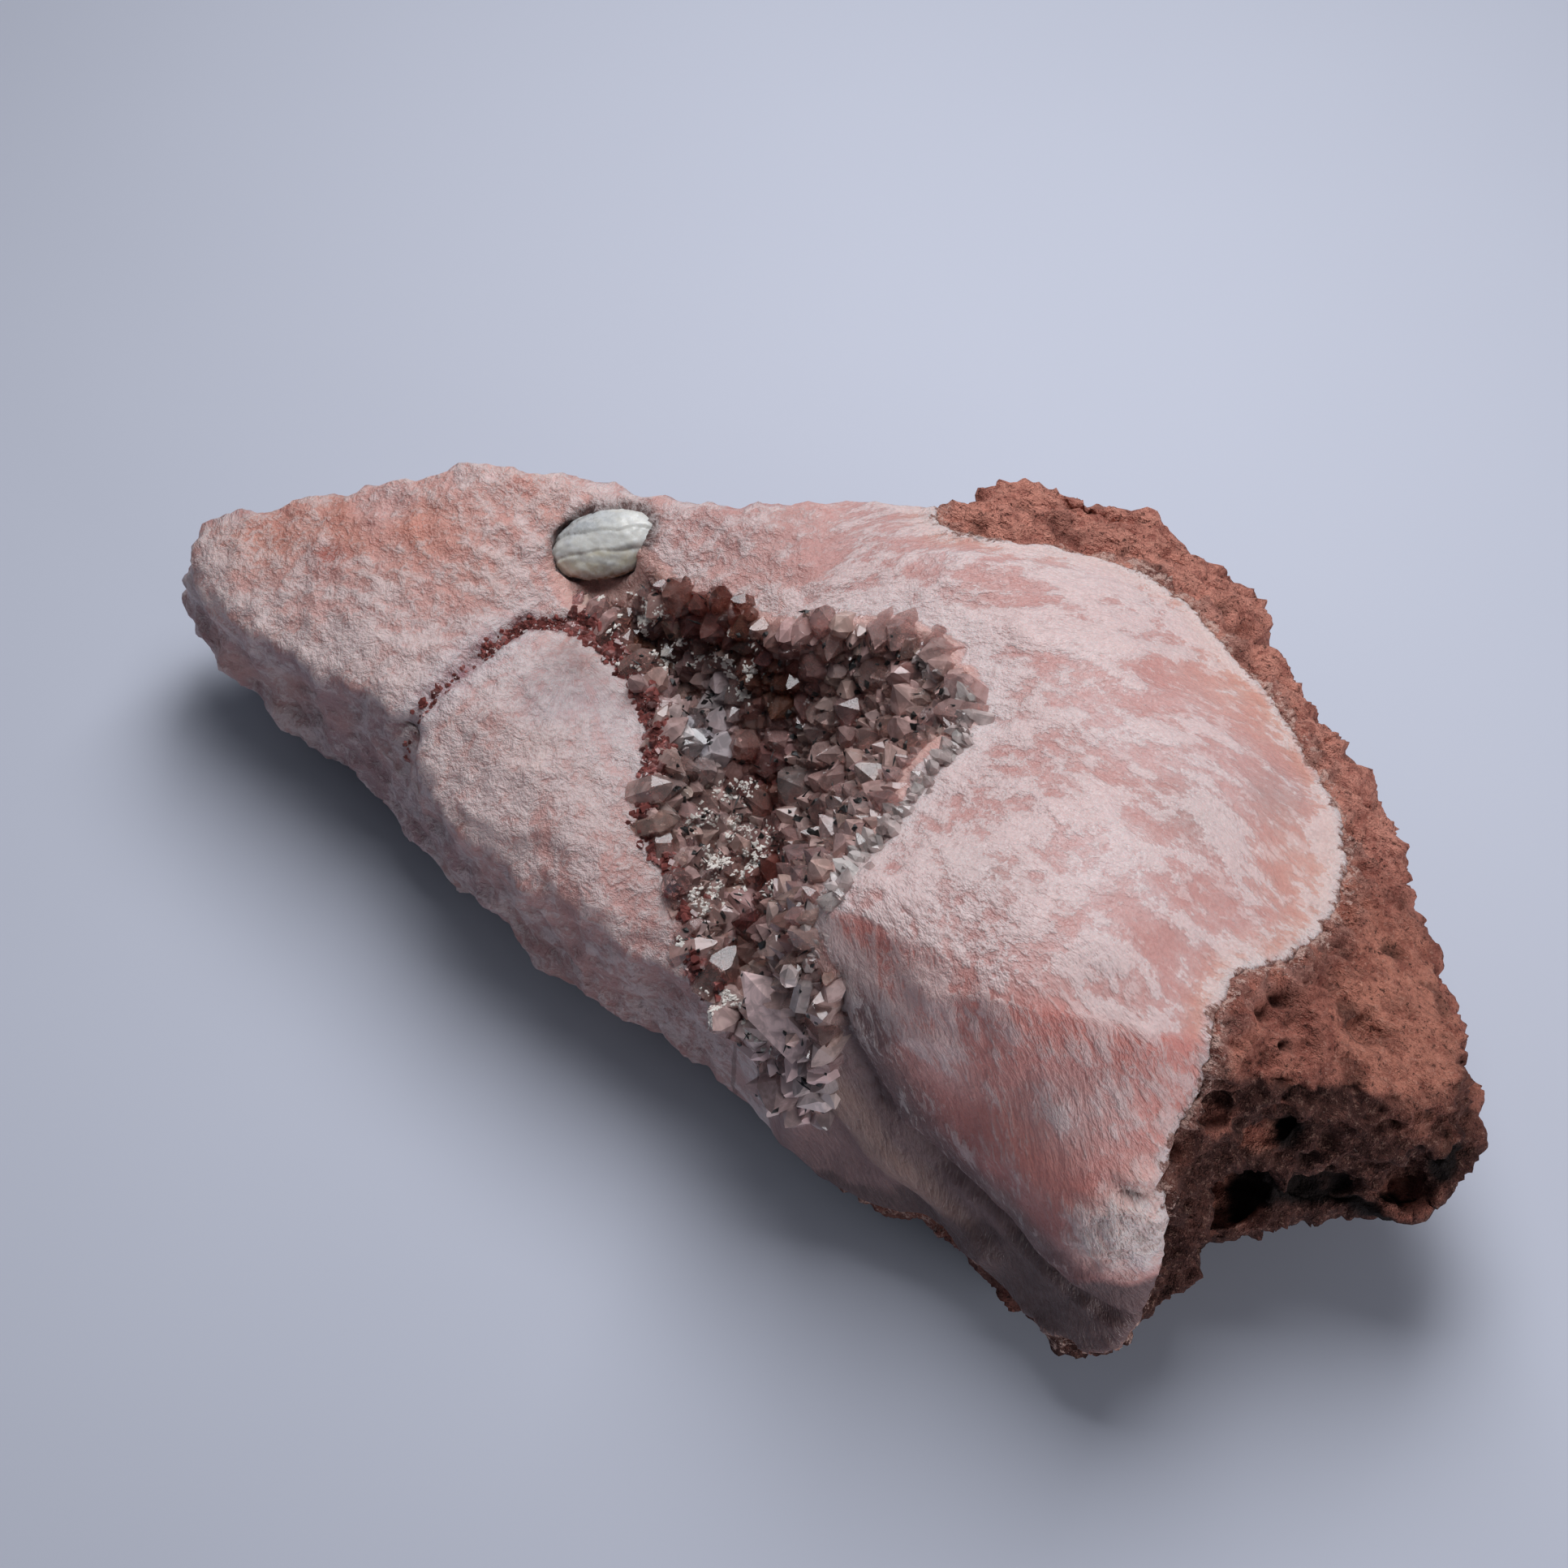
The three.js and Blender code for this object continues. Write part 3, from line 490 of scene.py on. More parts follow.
def build_vein():
    """The calcite: flaky along its fibres on the right lobe, lumpy on the left, smooth under the quartz; painted shade
    deep in the vug, along the furrow and on the lower sides.
    """
    points, normals, triangles = refined("calcite_vein", *VEIN_MESH)

    def spot(*where):
        return blob(points, *where)

    near_host = distance_to(tree_of("host_rock"), points, 6.0)
    near_quartz = distance_to(tree_of("quartz_crust"), points, 6.0)
    near_blade = distance_to(tree_of("calcite_blade"), points, 6.0)
    x, y, z = points.T
    up = normals[:, 2]
    grain = grain_of(points)
    right = ramp(x + 0.3 * y, -6, 2)
    left = 1 - right
    far_left = ramp(x + 0.15 * y, -30, -38)
    in_vug = ramp(near_quartz, 1.2, 0.5)
    side = ramp(up, 0.55, 0.15)
    seam, seam_along = line_distance(points, SEAM)
    crease, crease_along = line_distance(points, CREASE)
    crevice = line_distance(points, CREVICE)[0] + 0.4 * rough(points, 2.0)
    ledge = line_distance(points, LEDGE)[0]
    corner = spot((50.5, -31, 28), (7.5, 9, 10))

    plates, chips = scoops(grain, 6.5, 1), scoops(grain, 2.8, 2)
    lumps, crumbs = scoops(points, 6.2, 3), scoops(points, 2.3, 4)
    folds = scoops(points * (1, 1, 0.7), 8.0, 5)
    facets = ridged(coarse, points + 20, 7.0)
    lift = right * (0.55 * plates + 0.32 * chips)
    lift += left * ((0.3 + 0.8 * side) * lumps + (0.2 + 0.3 * side) * facets)
    lift += (0.35 * left + 0.25 * far_left + 1.1 * corner + 0.15) * crumbs
    lift += 1.1 * corner * ridged(rough, points * (1, 0.8, 0.7), 3.4) + side * (1.5 * folds + 0.5 * lumps)
    lift += 0.10 * rough.octaves(points, 1.5, 2)
    lift += 3.2 * spot((46, -31, 27), (14, 11, 15)) - 1.3 * spot((43, -22, 46), (12, 6, 5))
    lift -= 0.7 * ramp(seam, 1.3, 0.2) * ramp(seam_along, 5.2, 4.0) * ramp(up, 0.1, 0.5)
    lift -= 2.4 * spot(NOTCH, (3.2, 3.2, 3.5)) + 1.0 * ramp(crevice, 0.9, 0.1)
    lift -= 1.3 * ramp(crease, 1.7, 0.2) * ramp(crease_along, 0.0, 0.8)
    lift += 1.2 * ramp(ledge, 3.2, 0.6)
    lift *= ramp(z, 0.2, 2.5) * (1 - 0.7 * ramp(near_host, 1.5, 0.4)) * (1 - in_vug)
    lift += 0.34 * ramp(near_host, 1.3, 0.5) + 0.7 * in_vug
    lift += 0.25 * rough.octaves(points, 1.6, 2) * ramp(near_host, 2.0, 0.6)
    moved = lifted(points, normals, lift)

    shade = coarse.octaves(points, 9.0, 2)
    patch = coarse.octaves(grain, 8.0)
    top = ramp(up, 0.25, 0.6)
    slope = ramp(x, 12, 18) * ramp(up, 0.86, 0.62) * ramp(y, -12, -20)
    rim = ramp(near_quartz, 8.0, 1.5) * right
    rind = ramp(z - np.interp(x, *RIND_TOP) - 2.0 * rough(points, 3.0), 0.8, -0.8) * ramp(x, 9, 14) * ramp(y, -22, -27)
    below = ramp(np.interp(x, *np.array(CREASE)[:, ::2].T) - z, -1.0, 1.5)
    below *= ramp(x, 11, 15) * ramp(y, -20, -25) * ramp(x, 52, 46)
    left_stain = far_left * spot(*LEFT_STAIN)
    dark_red = ramp(seam + 0.7 * rough.octaves(points + 7, 1.6, 2), 1.5, 0.4) * ramp(seam_along, 2.0, 2.8) * top
    # painted shade: the ground under the quartz is darker deep in the vug
    deep_vug_shade = 1.5 * spot((-3, -9, 26), (12, 18, 12)) + 0.3 * spot((-12, 5, 32), (11, 8, 10))
    tint = mixed(
        SALMON,
        (PINK, 0.40 * right * ramp(patch, 0.1, 0.7)),
        (WHITE, 0.35 * right * ramp(patch, -0.1, -0.7) + 0.5 * rim),
        (TAUPE, 0.5 * spot((40, 1), (7, 6)) + 0.5 * spot((45, 9), (5, 6)) + 0.45 * spot((26, -16), (6, 4))),
        (CREAM, 0.9 * left),
        (LILAC, 0.75 * spot((-22, -8), (13, 11)) * ramp(shade, 0.6, -0.3)),
        (WHITE, 0.55 * spot((-16, -10), (13, 10)) + 0.5 * spot((-33, -6), (9, 9))),
        (PINK, left * (0.45 * ramp(y, -16, -25) + 0.25 * ramp(shade, 0.25, 0.7))),
        (APRICOT, 0.6 * spot((-20, -14), (9, 5)) * ramp(patch, 0.0, 0.6)),
        (APRICOT, 0.75 * ramp(near_host, 5.0, 1.0) * top),
        (APRICOT, 0.7 * spot((40, 21), (16, 12)) + 0.6 * spot((51, 4), (9, 12))),
        (ORANGE, 0.90 * left_stain * ramp(shade, -0.8, 0.2)),
        (ORANGE, 0.7 * far_left * spot((-64, -3), (10, 7)) + 0.45 * spot((-38, 11), (11, 6))),
        (RED, 0.75 * spot((-55.7, -3.2), (4.5, 3.2)) * ramp(shade, -0.9, 0.1)),
        (PINK, 0.6 * spot((-14, 14), (20, 8))),
        (ROSE, 0.95 * slope),
        # deeper red low on the near slope, darkened further as painted shade
        (DUSKY_SHADE, 0.8 * slope * ramp(z, 34, 24) * ramp(x, 20, 26)),
        (ROSE, 0.7 * spot((33, -25.5, 44), (16, 4.0, 4))),
        # painted shade: dark grey in a band along the furrow
        (GREY_SHADE, 0.95 * ramp(crease + 1.2 * patch, 7.5, 2.5) * ramp(crease_along, 7.5, 5.5) * ramp(z, 43, 37)),
        (WHITE, 0.55 * spot((42, -28, 36), (10, 6, 8)) + 0.4 * spot((30, -29, 34), (6, 4, 5))),
        (LOW, 0.9 * below),
        (BEIGE, 0.9 * ramp(ledge, 3.2, 1.0)),
        (PALE, 0.85 * ramp(corner + 0.2 * shade, 0.0, 0.6)),
        (APRICOT, 0.7 * corner * ramp(shade, 0.0, 0.5)),
        # painted shade: darker pink on the left lobe's sides, grey low on all sides, mauve on the left lobe's steep
        # near side
        (PINK, 0.55 * (1 - top) * left * (0.6 + 0.4 * ramp(shade, -0.4, 0.4))),
        (GREY_SHADE, 0.30 * (1 - top) * ramp(z, 24, 8) * (1 - corner)),
        (MAUVE_SHADE, 0.65 * side * ramp(x, -15, -30) * ramp(y, 5, -5) * ramp(shade, -0.7, 0.3)),
        (WHITE, 0.7 * ramp(near_host, 1.8, 0.3) * ramp(z, 6, 20)),
        (LILAC, 0.6 * ramp(seam, 3.4, 1.2) * ramp(seam_along, 3.5, 2.6) * top),
        (PURPLE, 0.75 * ramp(seam + 0.8 * rough.octaves(points, 2.2), 1.5, 0.2) * top),
        (DARK_RED, 0.85 * dark_red),
        (RIND, 0.95 * rind),
        (DARK_RED, 0.9 * spot(NOTCH, (2.6, 2.8, 3.0))),
        (SHADE, 0.75 * ramp(crevice, 0.7, 0.1) + 0.8 * ramp(near_blade, 1.6, 0.7) * ramp(x, -36, -33)),
        (WALL, in_vug),
        (VUG_SHADE, in_vug * np.clip(deep_vug_shade, 0, 1)),
    )

    white = 0.36 - 0.02 * right + (0.30 - 0.16 * right) * patch + 0.45 * plates * right + 0.6 * chips
    white += 0.32 * slope * coarse.octaves(points + 30, 5.0) + 0.5 * rim + 0.5 * corner
    white += 0.25 * ramp(near_host, 1.8, 0.5) - 0.16 * (1 - top) * (1 - slope) - 0.7 * below - 2.0 * rind
    white -= 0.16 * right * ramp(x, 34, 48) * ramp(near_host, 1.5, 4.0) + 0.32 * slope * ramp(z, 38, 28)
    white += left * (0.12 + 0.3 * lumps - 0.35 * left_stain - 0.35 * ramp(x, -22, -12) * ramp(y, 8, 12))
    drift = np.column_stack([points @ (0.5, -0.1, -0.86) / 3.2, points @ (0.86, 0.0, 0.5) * 1.25, y])
    piece = mesh_from("vein_surface", moved, triangles.tolist(), calcite_material(), ["calcite_vein"], True)
    put(
        piece, tint=tint, grain=grain, white=np.clip(white, -0.3, 1.3) * (1 - in_vug) - in_vug,
        drift=np.where(ramp(x, 4, 10)[:, None] > 0.5, drift, points),
        contact=ramp(near_host, 2.2, 0.2),
        cracked=np.clip(corner * 1.2 + 0.6 * spot((50, -24, 33), (8, 6, 6)), 0, 1),
        streaked=np.clip(right + 0.5 * spot((-24, -8), (12, 11)), 0, 1) * (1 - slope),
    )
    return Ground(moved, triangles)


# ---------------------------------------------------------------- host rock

CAVITIES = [  # middles and radii of the deep hollows on the near side, painted black inside as shade
    ((57, -20.5, 20), (6, 5, 5)), ((62, -17, 19), (7, 5, 4)), ((59, -17.5, 27), (3, 3, 3)),
    ((73, -10.7, 23), (3, 4, 5)), ((69, -15, 17), (5, 4, 3)),
]
HOST_BROWN = (0.49, 0.18, 0.13)
HOST_ORANGE = (0.61, 0.24, 0.165)
HOST_GREY = (0.36, 0.22, 0.19)
HOST_BRIGHT = (0.85, 0.37, 0.28)
HOST_DARK_AND_SHADE = (0.060, 0.024, 0.020)
HOST_MESH = (0.46, 4, 195_000)  # voxel, rounds of smoothing, most triangles


def build_host():
    """The volcanic rock: crags, pores and caves on the near side, painted black inside and darker on faces turned down
    or near as shade; calmer and more orange on the open face.
    """
    points, normals, triangles = refined("host_rock", *HOST_MESH)

    def spot(*where):
        return blob(points, *where)

    near_vein = distance_to(tree_of("calcite_vein"), points, 5.0)
    x, y, z = points.T
    up = normals[:, 2]
    near_side = ramp(y, 8, 0)
    open_face = ramp(spot((66, -3, 33), (15, 17, 11)), 0.1, 0.5) * ramp(up, 0.45, 0.8)
    cragged = 1 - 0.85 * open_face
    calm = 1 - spot((52.5, -20, 31), (5, 5, 5))

    bent = points + 0.8 * np.column_stack([rough(points + shift, 2.0) for shift in (0, 9, 5)])
    crests = calm * ridged(coarse, bent * (0.6, 1.25, 1.0), 6.0)
    blocks, crumbs = calm * scoops(bent, 6.0, 21), scoops(bent, 1.6, 23)
    far, own = cells(bent, 3.6, 5)
    pore = calm * ramp(far, 0.20 + 0.26 * own, 0.10 * own) * (own > 0.40 + 0.3 * open_face) * ramp(near_vein, 2.0, 4.0)
    cave = sum(spot(*where) for where in CAVITIES)
    lift = cragged * (0.9 * blocks + 1.5 * crests) + (0.15 + 0.35 * cragged) * crumbs
    lift += 0.20 * rough.octaves(points, 1.6, 2) - 1.2 * pore * (0.5 + 0.5 * cragged)
    lift -= 1.8 * cave * ramp(x, 69, 65)
    lift *= 1 - 0.9 * spot((72, -13, 17.5), (8, 7, 7))
    lift += 1.0 * spot((72.3, -13, 17.4), (4, 4, 4))
    lift += 1.6 * spot((62, 21, 26), (9, 8, 10)) + 1.2 * spot((35, 33, 33), (7, 5, 8))
    lift *= ramp(z, 0.2, 2.5) * (1 - ramp(near_vein, 0.9, 0.4) * 0.7)
    lift += (0.42 + 0.35 * rough.octaves(points, 1.6, 2)) * ramp(near_vein, 1.4, 0.5)

    shade = coarse.octaves(points, 7.0)
    tint = mixed(
        HOST_BROWN,
        (HOST_ORANGE, 0.7 * ramp(shade, -0.2, 0.5) * ramp(up, -0.1, 0.5)),
        (HOST_ORANGE, 0.95 * open_face),
        (HOST_BRIGHT, 0.7 * ramp(y, 4, 14)),
        (HOST_GREY, 0.5 * ramp(near_vein, 4.0, 1.0) * ramp(rough.octaves(points, 1.6, 2), -0.5, 0.3)),
        # painted shade: darker on faces turned down or towards the near side and between the crests; the last layer is
        # darker rock at random
        (HOST_DARK_AND_SHADE, 0.92 * ramp(up, 0.78, 0.30) * ramp(x, 38, 50) * ramp(y, 0, -8)),
        (HOST_DARK_AND_SHADE, 0.5 * ramp(up, 0.1, -0.4)),
        (HOST_DARK_AND_SHADE, 0.5 * ramp(crests, -0.2, -0.9) * near_side),
        (HOST_DARK_AND_SHADE, 0.4 * ramp(shade, -0.2, -0.8) * (1 - open_face)),
    )
    # painted shade: black in the pores, between the crests on the near side and deep in the caves
    hollow = 0.7 * pore + 0.3 * cragged * ramp(crests, -0.5, -1.1) * near_side
    hollow += ramp(cave - 0.35 * crests, 0.30, 0.60) * ramp(cave, 0.02, 0.2) * ramp(near_vein, 1.0, 3.0)
    moved = lifted(points, normals, lift)
    piece = mesh_from("host_surface", moved, triangles.tolist(), host_material(), ["host_rock"], True)
    put(piece, tint=tint, contact=ramp(near_vein, 2.6, 0.2), hollow=np.clip(hollow, 0, 1))


# ---------------------------------------------------------------- quartz

TIP_ANGLE = math.radians(38.2)  # between a tip face's normal and the side face below it
TURN = 6.28  # once round, in radians
DRUSE_HAZE = 0.34  # share of the light that a crystal scatters and doesn't pass, outside the places of CRYSTAL_TINTS
GREY_PINK = (0.98, 0.63, 0.57)
WINE = (0.54, 0.17, 0.14)
BROWN = (0.44, 0.18, 0.14)
MILK = (0.90, 0.84, 0.87)
ICE = (0.98, 0.81, 0.77)
BLUSH = (1.0, 0.70, 0.68)
TAWNY = (0.74, 0.62, 0.60)
SEAM_RED = (0.26, 0.075, 0.065)
CRYSTAL_TINTS = [  # centre, radii, colour and haze of the quartz in a part of the vug
    ((-14, 6, 34), (9, 6, 8), BROWN, 0.18),
    ((-6, 4, 31), (7, 5, 6), BROWN, 0.16),
    ((-3, -4, 26), (6, 5, 6), WINE, 0.24),
    ((1, -13, 25), (7, 6, 6), WINE, 0.22),
    ((-20, 3, 29), (7, 4, 5), BROWN, 0.18),
    ((4, -20, 24), (5, 6, 6), BROWN, 0.16),
    ((-10.5, -3.5, 28), (5, 5, 9), MILK, 0.50),
    ((-11, 1, 30), (4, 4, 7), MILK, 0.35),
    ((14, -31, 22), (11, 8, 12), BLUSH, 0.85),
    ((0.9, -3.0, 27), (3, 3, 4), TAWNY, 0.25),
]
KEY_CRYSTALS = [  # x, y, radius of the quartz points that stand out
    (0.9, -3.0, 3.1), (-3.4, -1.4, 2.4), (-4.2, -6.6, 2.5), (2.8, -11.8, 2.5), (5.5, -6.0, 2.4), (-9.6, -6.2, 1.9),
    (10.5, -4.5, 2.3), (4.0, 3.2, 2.3), (9.6, 3.4, 2.2), (-0.8, -18.7, 2.1), (3.8, -20.5, 2.3), (8.6, -26.5, 2.5),
    (12.6, -29.0, 3.2), (1.5, -16.0, 2.2), (9.5, -11.0, 2.3), (7.0, 0.2, 2.1), (13.6, -30.8, 2.6), (7.5, -15.5, 2.2),
]
KEY_SHARE = 0.85  # of the radii above
DRUSE_ROUNDS = [(1200, 1.2, 2.0), (3500, 0.75, 1.2), (6000, 0.40, 0.70)]  # tries, least and greatest radius
SPACING = 0.50  # of two crystals' radii together
BLADE_CLEARANCE = 2.0
RIM_STEP = 0.05  # of a stretch of RIM, from one tooth to the next
SEAM_TRIES, SPECK_TRIES, NEEDLE_SHARE = 3200, 520, 0.35
RIM = [  # right edge of the vug, where broken quartz shows between the calcite and the hollow
    (7.5, 7.5, 40.5), (11.0, 6.0, 41.6), (15.5, 2.5, 43.0), (17.2, -1.5, 43.4), (16.4, -6.0, 43.2), (15.2, -11.0, 42.6),
    (14.8, -15.5, 43.4), (14.6, -20.6, 44.2), (14.2, -23.6, 43.6), (14.6, -26.6, 40.6), (14.6, -28.6, 37.6),
]


def quartz_template(rng, apex=1.15):
    """A quartz point of radius 1 along +Z, its shoulder near 0: corners and flat faces. No two sides are alike."""
    turns = np.arange(6) * math.pi / 3
    flat = np.column_stack([np.cos(turns), np.sin(turns), np.zeros(6)])
    tips = flat * math.cos(TIP_ANGLE) + np.array([0, 0, math.sin(TIP_ANGLE)])
    normals = np.vstack([flat, tips, [(0, 0, -1)]])
    tip_offsets = apex * math.sin(TIP_ANGLE) * (1 + 0.16 * (np.arange(6) % 2) + rng.normal(0, 0.07, 6))
    offsets = np.concatenate([rng.uniform(0.74, 0.98, 6), tip_offsets, [1.7]])
    triples = np.array([(a, b, c) for a in range(13) for b in range(a) for c in range(b)])
    corners = normals[triples]
    solvable = np.abs(np.linalg.det(corners)) > 1e-3
    points = np.linalg.solve(corners[solvable], offsets[triples][solvable][..., None])[..., 0]
    points = points[(points @ normals.T <= offsets + 1e-6).all(axis=1)]
    points = np.unique(points.round(5), axis=0)
    faces = []
    for normal, offset in zip(normals, offsets):
        on = np.flatnonzero(np.abs(points @ normal - offset) < 1e-4)
        if len(on) < 3:
            continue
        side = unit(np.cross(normal, (0.3, 0.5, 0.8)))
        spread = points[on] - points[on].mean(axis=0)
        angle = np.arctan2(spread @ np.cross(normal, side), spread @ side)
        faces.append(on[np.argsort(angle)].tolist())
    return points, faces


def stood(points, axis, place, rng):
    """Points turned from +Z to an axis, spun about it at random and put in place."""
    spin = Matrix.Rotation(rng.uniform(0, TURN), 3, "Z")
    rotation = np.array(Vector((0, 0, 1)).rotation_difference(Vector(axis)).to_matrix() @ spin)
    return points @ rotation.T + place


def joined(parts):
    """One mesh from (points, faces) parts, and the number of points in each."""
    points, faces, start = [], [], 0
    for part_points, part_faces in parts:
        points.append(part_points)
        faces += [[i + start for i in face] for face in part_faces]
        start += len(part_points)
    return np.vstack(points), faces, [len(p) for p, _ in parts]


class Ground:
    """A triangle surface that small things are scattered on."""

    def __init__(self, points, triangles):
        self.tree = BVHTree.FromPolygons(points.tolist(), triangles.tolist())
        self.corners = points[triangles]
        cross = np.cross(self.corners[:, 1] - self.corners[:, 0], self.corners[:, 2] - self.corners[:, 0])
        self.area = np.linalg.norm(cross, axis=1) / 2
        self.normals = cross / np.maximum(2 * self.area, 1e-12)[:, None]

    def scatter(self, rng, count):
        """Random places spread evenly over the surface, and the normals there."""
        chosen = rng.choice(len(self.area), count, p=self.area / self.area.sum())
        a, b = rng.random((2, count))
        a, b = np.where(a + b > 1, 1 - a, a), np.where(a + b > 1, 1 - b, b)
        c = self.corners[chosen]
        places = c[:, 0] + a[:, None] * (c[:, 1] - c[:, 0]) + b[:, None] * (c[:, 2] - c[:, 0])
        return places, self.normals[chosen]

    def below(self, x, y):
        """Where a plumb line from above meets the surface, and the normal there."""
        place, normal, *_ = self.tree.ray_cast(Vector((x, y, 90)), Vector((0, 0, -1)))
        return (None, None) if place is None else (np.array(place), np.array(normal))

    def outermost(self, place, normal, reach=9.0):
        """Where a line towards a place, against its normal, first meets the surface."""
        hit, side, *_ = self.tree.ray_cast(Vector(place + normal * reach), Vector(-normal), 2 * reach)
        return (None, None) if hit is None else (np.array(hit), np.array(side))


def vug_ground():
    """The part of the vein's surface that the quartz crust covers."""
    points, _, triangles = node_arrays("calcite_vein")
    near = distance_to(tree_of("quartz_crust"), points[triangles].mean(axis=1), 2.0) < 0.75
    return Ground(points, triangles[near])


def crystal_look(place, rng):
    """Colour and haze of a crystal at a place."""
    colour, haze = np.array(GREY_PINK), DRUSE_HAZE
    for centre, reach, tint, veil in CRYSTAL_TINTS:
        weight = min(1.0, 1.6 * blob(place[None], centre, reach)[0])
        colour = colour * (1 - weight) + np.array(tint) * weight
        haze = haze * (1 - weight) + veil * weight
    colour = np.clip(colour * rng.uniform(0.90, 1.10) + rng.normal(0, 0.012, 3), 0, 0.96)
    return np.append(colour, 1), haze * rng.uniform(0.3, 1.7)


def rim_teeth(rng):
    """Broken icy quartz along the right edge, its points turned up and into the hollow: parts, colours and hazes."""
    line = np.array(RIM)
    parts, tints, hazes = [], [], []
    for t in np.arange(0.2, len(line) - 1.05, RIM_STEP):
        i = int(t)
        run = line[i + 1] - line[i]
        place = line[i] + (t - i) * run + rng.normal(0, 0.6, 3)
        inward = np.cross(unit(run), (0, 0, 1)) + (0, 0, rng.uniform(0.4, 1.6)) + rng.normal(0, 0.5, 3)
        radius = rng.uniform(0.3, 0.95)
        points, faces = quartz_template(rng, rng.uniform(0.9, 1.4))
        points = points * radius * np.array([1, 1, rng.uniform(0.9, 1.6)])
        parts.append((stood(points, unit(inward), place - (0, 0, 0.3 * radius), rng), faces))
        tints.append(np.append(np.clip(np.array(ICE) * rng.uniform(0.85, 1.08), 0, 0.95), 1))
        hazes.append(rng.uniform(0.25, 0.60))
    return parts, tints, hazes


def build_quartz(vug):
    """The large crystals that stand out, then ever smaller ones wherever there is room, and the teeth of the rim."""
    rng = np.random.default_rng(3)
    templates = [quartz_template(rng) for _ in range(24)]
    blade = tree_of("calcite_blade")
    places, radii, normals = [], [], []

    def grow(place, normal, radius, spacing=SPACING):
        if blade.find_nearest(Vector(place), BLADE_CLEARANCE + radius)[0] is not None:
            return
        if places:
            gaps = np.linalg.norm(np.array(places) - place, axis=1) - spacing * (np.array(radii) + radius)
            if gaps.min() < 0:
                return
        places.append(place)
        radii.append(radius)
        normals.append(normal)

    for x, y, radius in KEY_CRYSTALS:
        place, normal = vug.below(x, y)
        if place is not None:
            grow(place, normal, KEY_SHARE * radius, 0.0)
    for count, low, high in DRUSE_ROUNDS:
        found, sides = vug.scatter(rng, count)
        for place, normal, share in zip(found, sides, rng.random(count)):
            grow(place, normal, low + (high - low) * share**2)

    parts, tints, hazes = [], [], []
    for place, normal, radius in zip(places, normals, radii):
        points, faces = templates[rng.integers(len(templates))]
        axis = unit(normal + rng.normal(0, 0.24, 3))
        rise = 0.6 + radius * rng.uniform(0.0, 0.5)
        stretch = np.array([1, 1, rng.uniform(1.0, 1.5 if radius < 1.4 else 1.2)])
        parts.append((stood(points * radius * stretch + (0, 0, rise), axis, place, rng), faces))
        colour, haze = crystal_look(place, rng)
        tints.append(colour)
        hazes.append(haze)
    teeth, ice, veils = rim_teeth(rng)
    points, faces, sizes = joined(parts + teeth)
    clear = quartz_material("quartz", (0.80, 0.46, 0.40), 15.0)
    piece = mesh_from("quartz_druse", points, faces, clear, ["quartz_crust"])
    put(piece, tint=np.repeat(tints + ice, sizes, axis=0), haze=np.repeat(hazes + veils, sizes))
    triangles = [[f[0], f[i], f[i + 1]] for f in faces for i in range(1, len(f) - 1)]
    return Ground(points, np.array(triangles))


def grit(rng, size, raggedness):
    """A small lump: an octahedron with its corners moved about."""
    corners = np.array([(1, 0, 0), (-1, 0, 0), (0, 1, 0), (0, -1, 0), (0, 0, 1), (0, 0, -1)], float)
    corners = corners * size + rng.normal(0, raggedness, (6, 3)) * size
    faces = [(0, 2, 4), (2, 1, 4), (1, 3, 4), (3, 0, 4), (2, 0, 5), (1, 2, 5), (3, 1, 5), (0, 3, 5)]
    return corners, [list(f) for f in faces]


POWDER_SPOTS = [  # centre and radii of the white powder, and how many patches of it
    ((-20, 4.0, 30), (11, 4.5, 7), 50), ((-11, 2, 31), (6, 5, 7), 30), ((-7, -9, 27), (4, 4, 6), 16),
    ((-3.7, -13.5, 25), (4.5, 4.5, 5), 50), ((3.2, -21.5, 26), (3, 5, 6), 60), ((9.5, -29, 25), (3, 3, 6), 28),
    ((-2, -12, 25), (7, 12, 10), 26),
]


def build_powder(druse, vug):
    """White powder that lies on the quartz in small ragged patches."""
    rng = np.random.default_rng(8)
    parts = []
    for centre, radii, count in POWDER_SPOTS:
        found, sides = vug.scatter(rng, 60 * count)
        inside = blob(found, centre, radii) > rng.random(len(found))
        for middle, side in list(zip(found[inside], sides[inside]))[:count]:
            spread = rng.uniform(0.15, 0.55) * (1.5 if centre[1] < -5 else 1.0)
            across = unit(np.cross(side, (0.3, 0.2, 0.9)))
            for _ in range(int(rng.uniform(14, 60) * (0.3 + spread))):
                a, b = rng.normal(0, spread, 2) * (1, 0.6)
                hit, normal = druse.outermost(middle + a * across + b * np.cross(side, across), side)
                if hit is None or normal[2] < 0.1:
                    continue
                size = np.array([1, 1, 0.45]) * rng.uniform(0.09, 0.20) * (1 + 1.2 * rng.random() ** 5)
                points, faces = grit(rng, size, 0.25)
                parts.append((stood(points, normal, hit, rng), faces))
    points, faces, _ = joined(parts)
    white = plain_mineral("powder", (0.97, 0.91, 0.84), (0.88, 0.79, 0.72), 0.3, 0.9)
    mesh_from("white_powder", points, faces, white)


def build_specks(druse, vug):
    """Black metallic grains and needles that lie on the quartz."""
    rng = np.random.default_rng(21)
    parts = []
    for place, side in zip(*vug.scatter(rng, SPECK_TRIES)):
        hit, normal = druse.outermost(place, side)
        if hit is None:
            continue
        if rng.random() < NEEDLE_SHARE:
            size = np.array([rng.uniform(0.5, 1.1), 0.12, 0.10])
        else:
            size = rng.uniform(0.18, 0.62) * np.array([1, 0.8, 0.5])
        points, faces = grit(rng, size, 0.15)
        parts.append((stood(points, normal + rng.normal(0, 0.4, 3), hit, rng), faces))
    points, faces, _ = joined(parts)
    black = plain_mineral("black_specks", (0.020, 0.017, 0.016), (0.008, 0.007, 0.007), 0.2, 0.35)
    mesh_from("black_specks", points, faces, black)


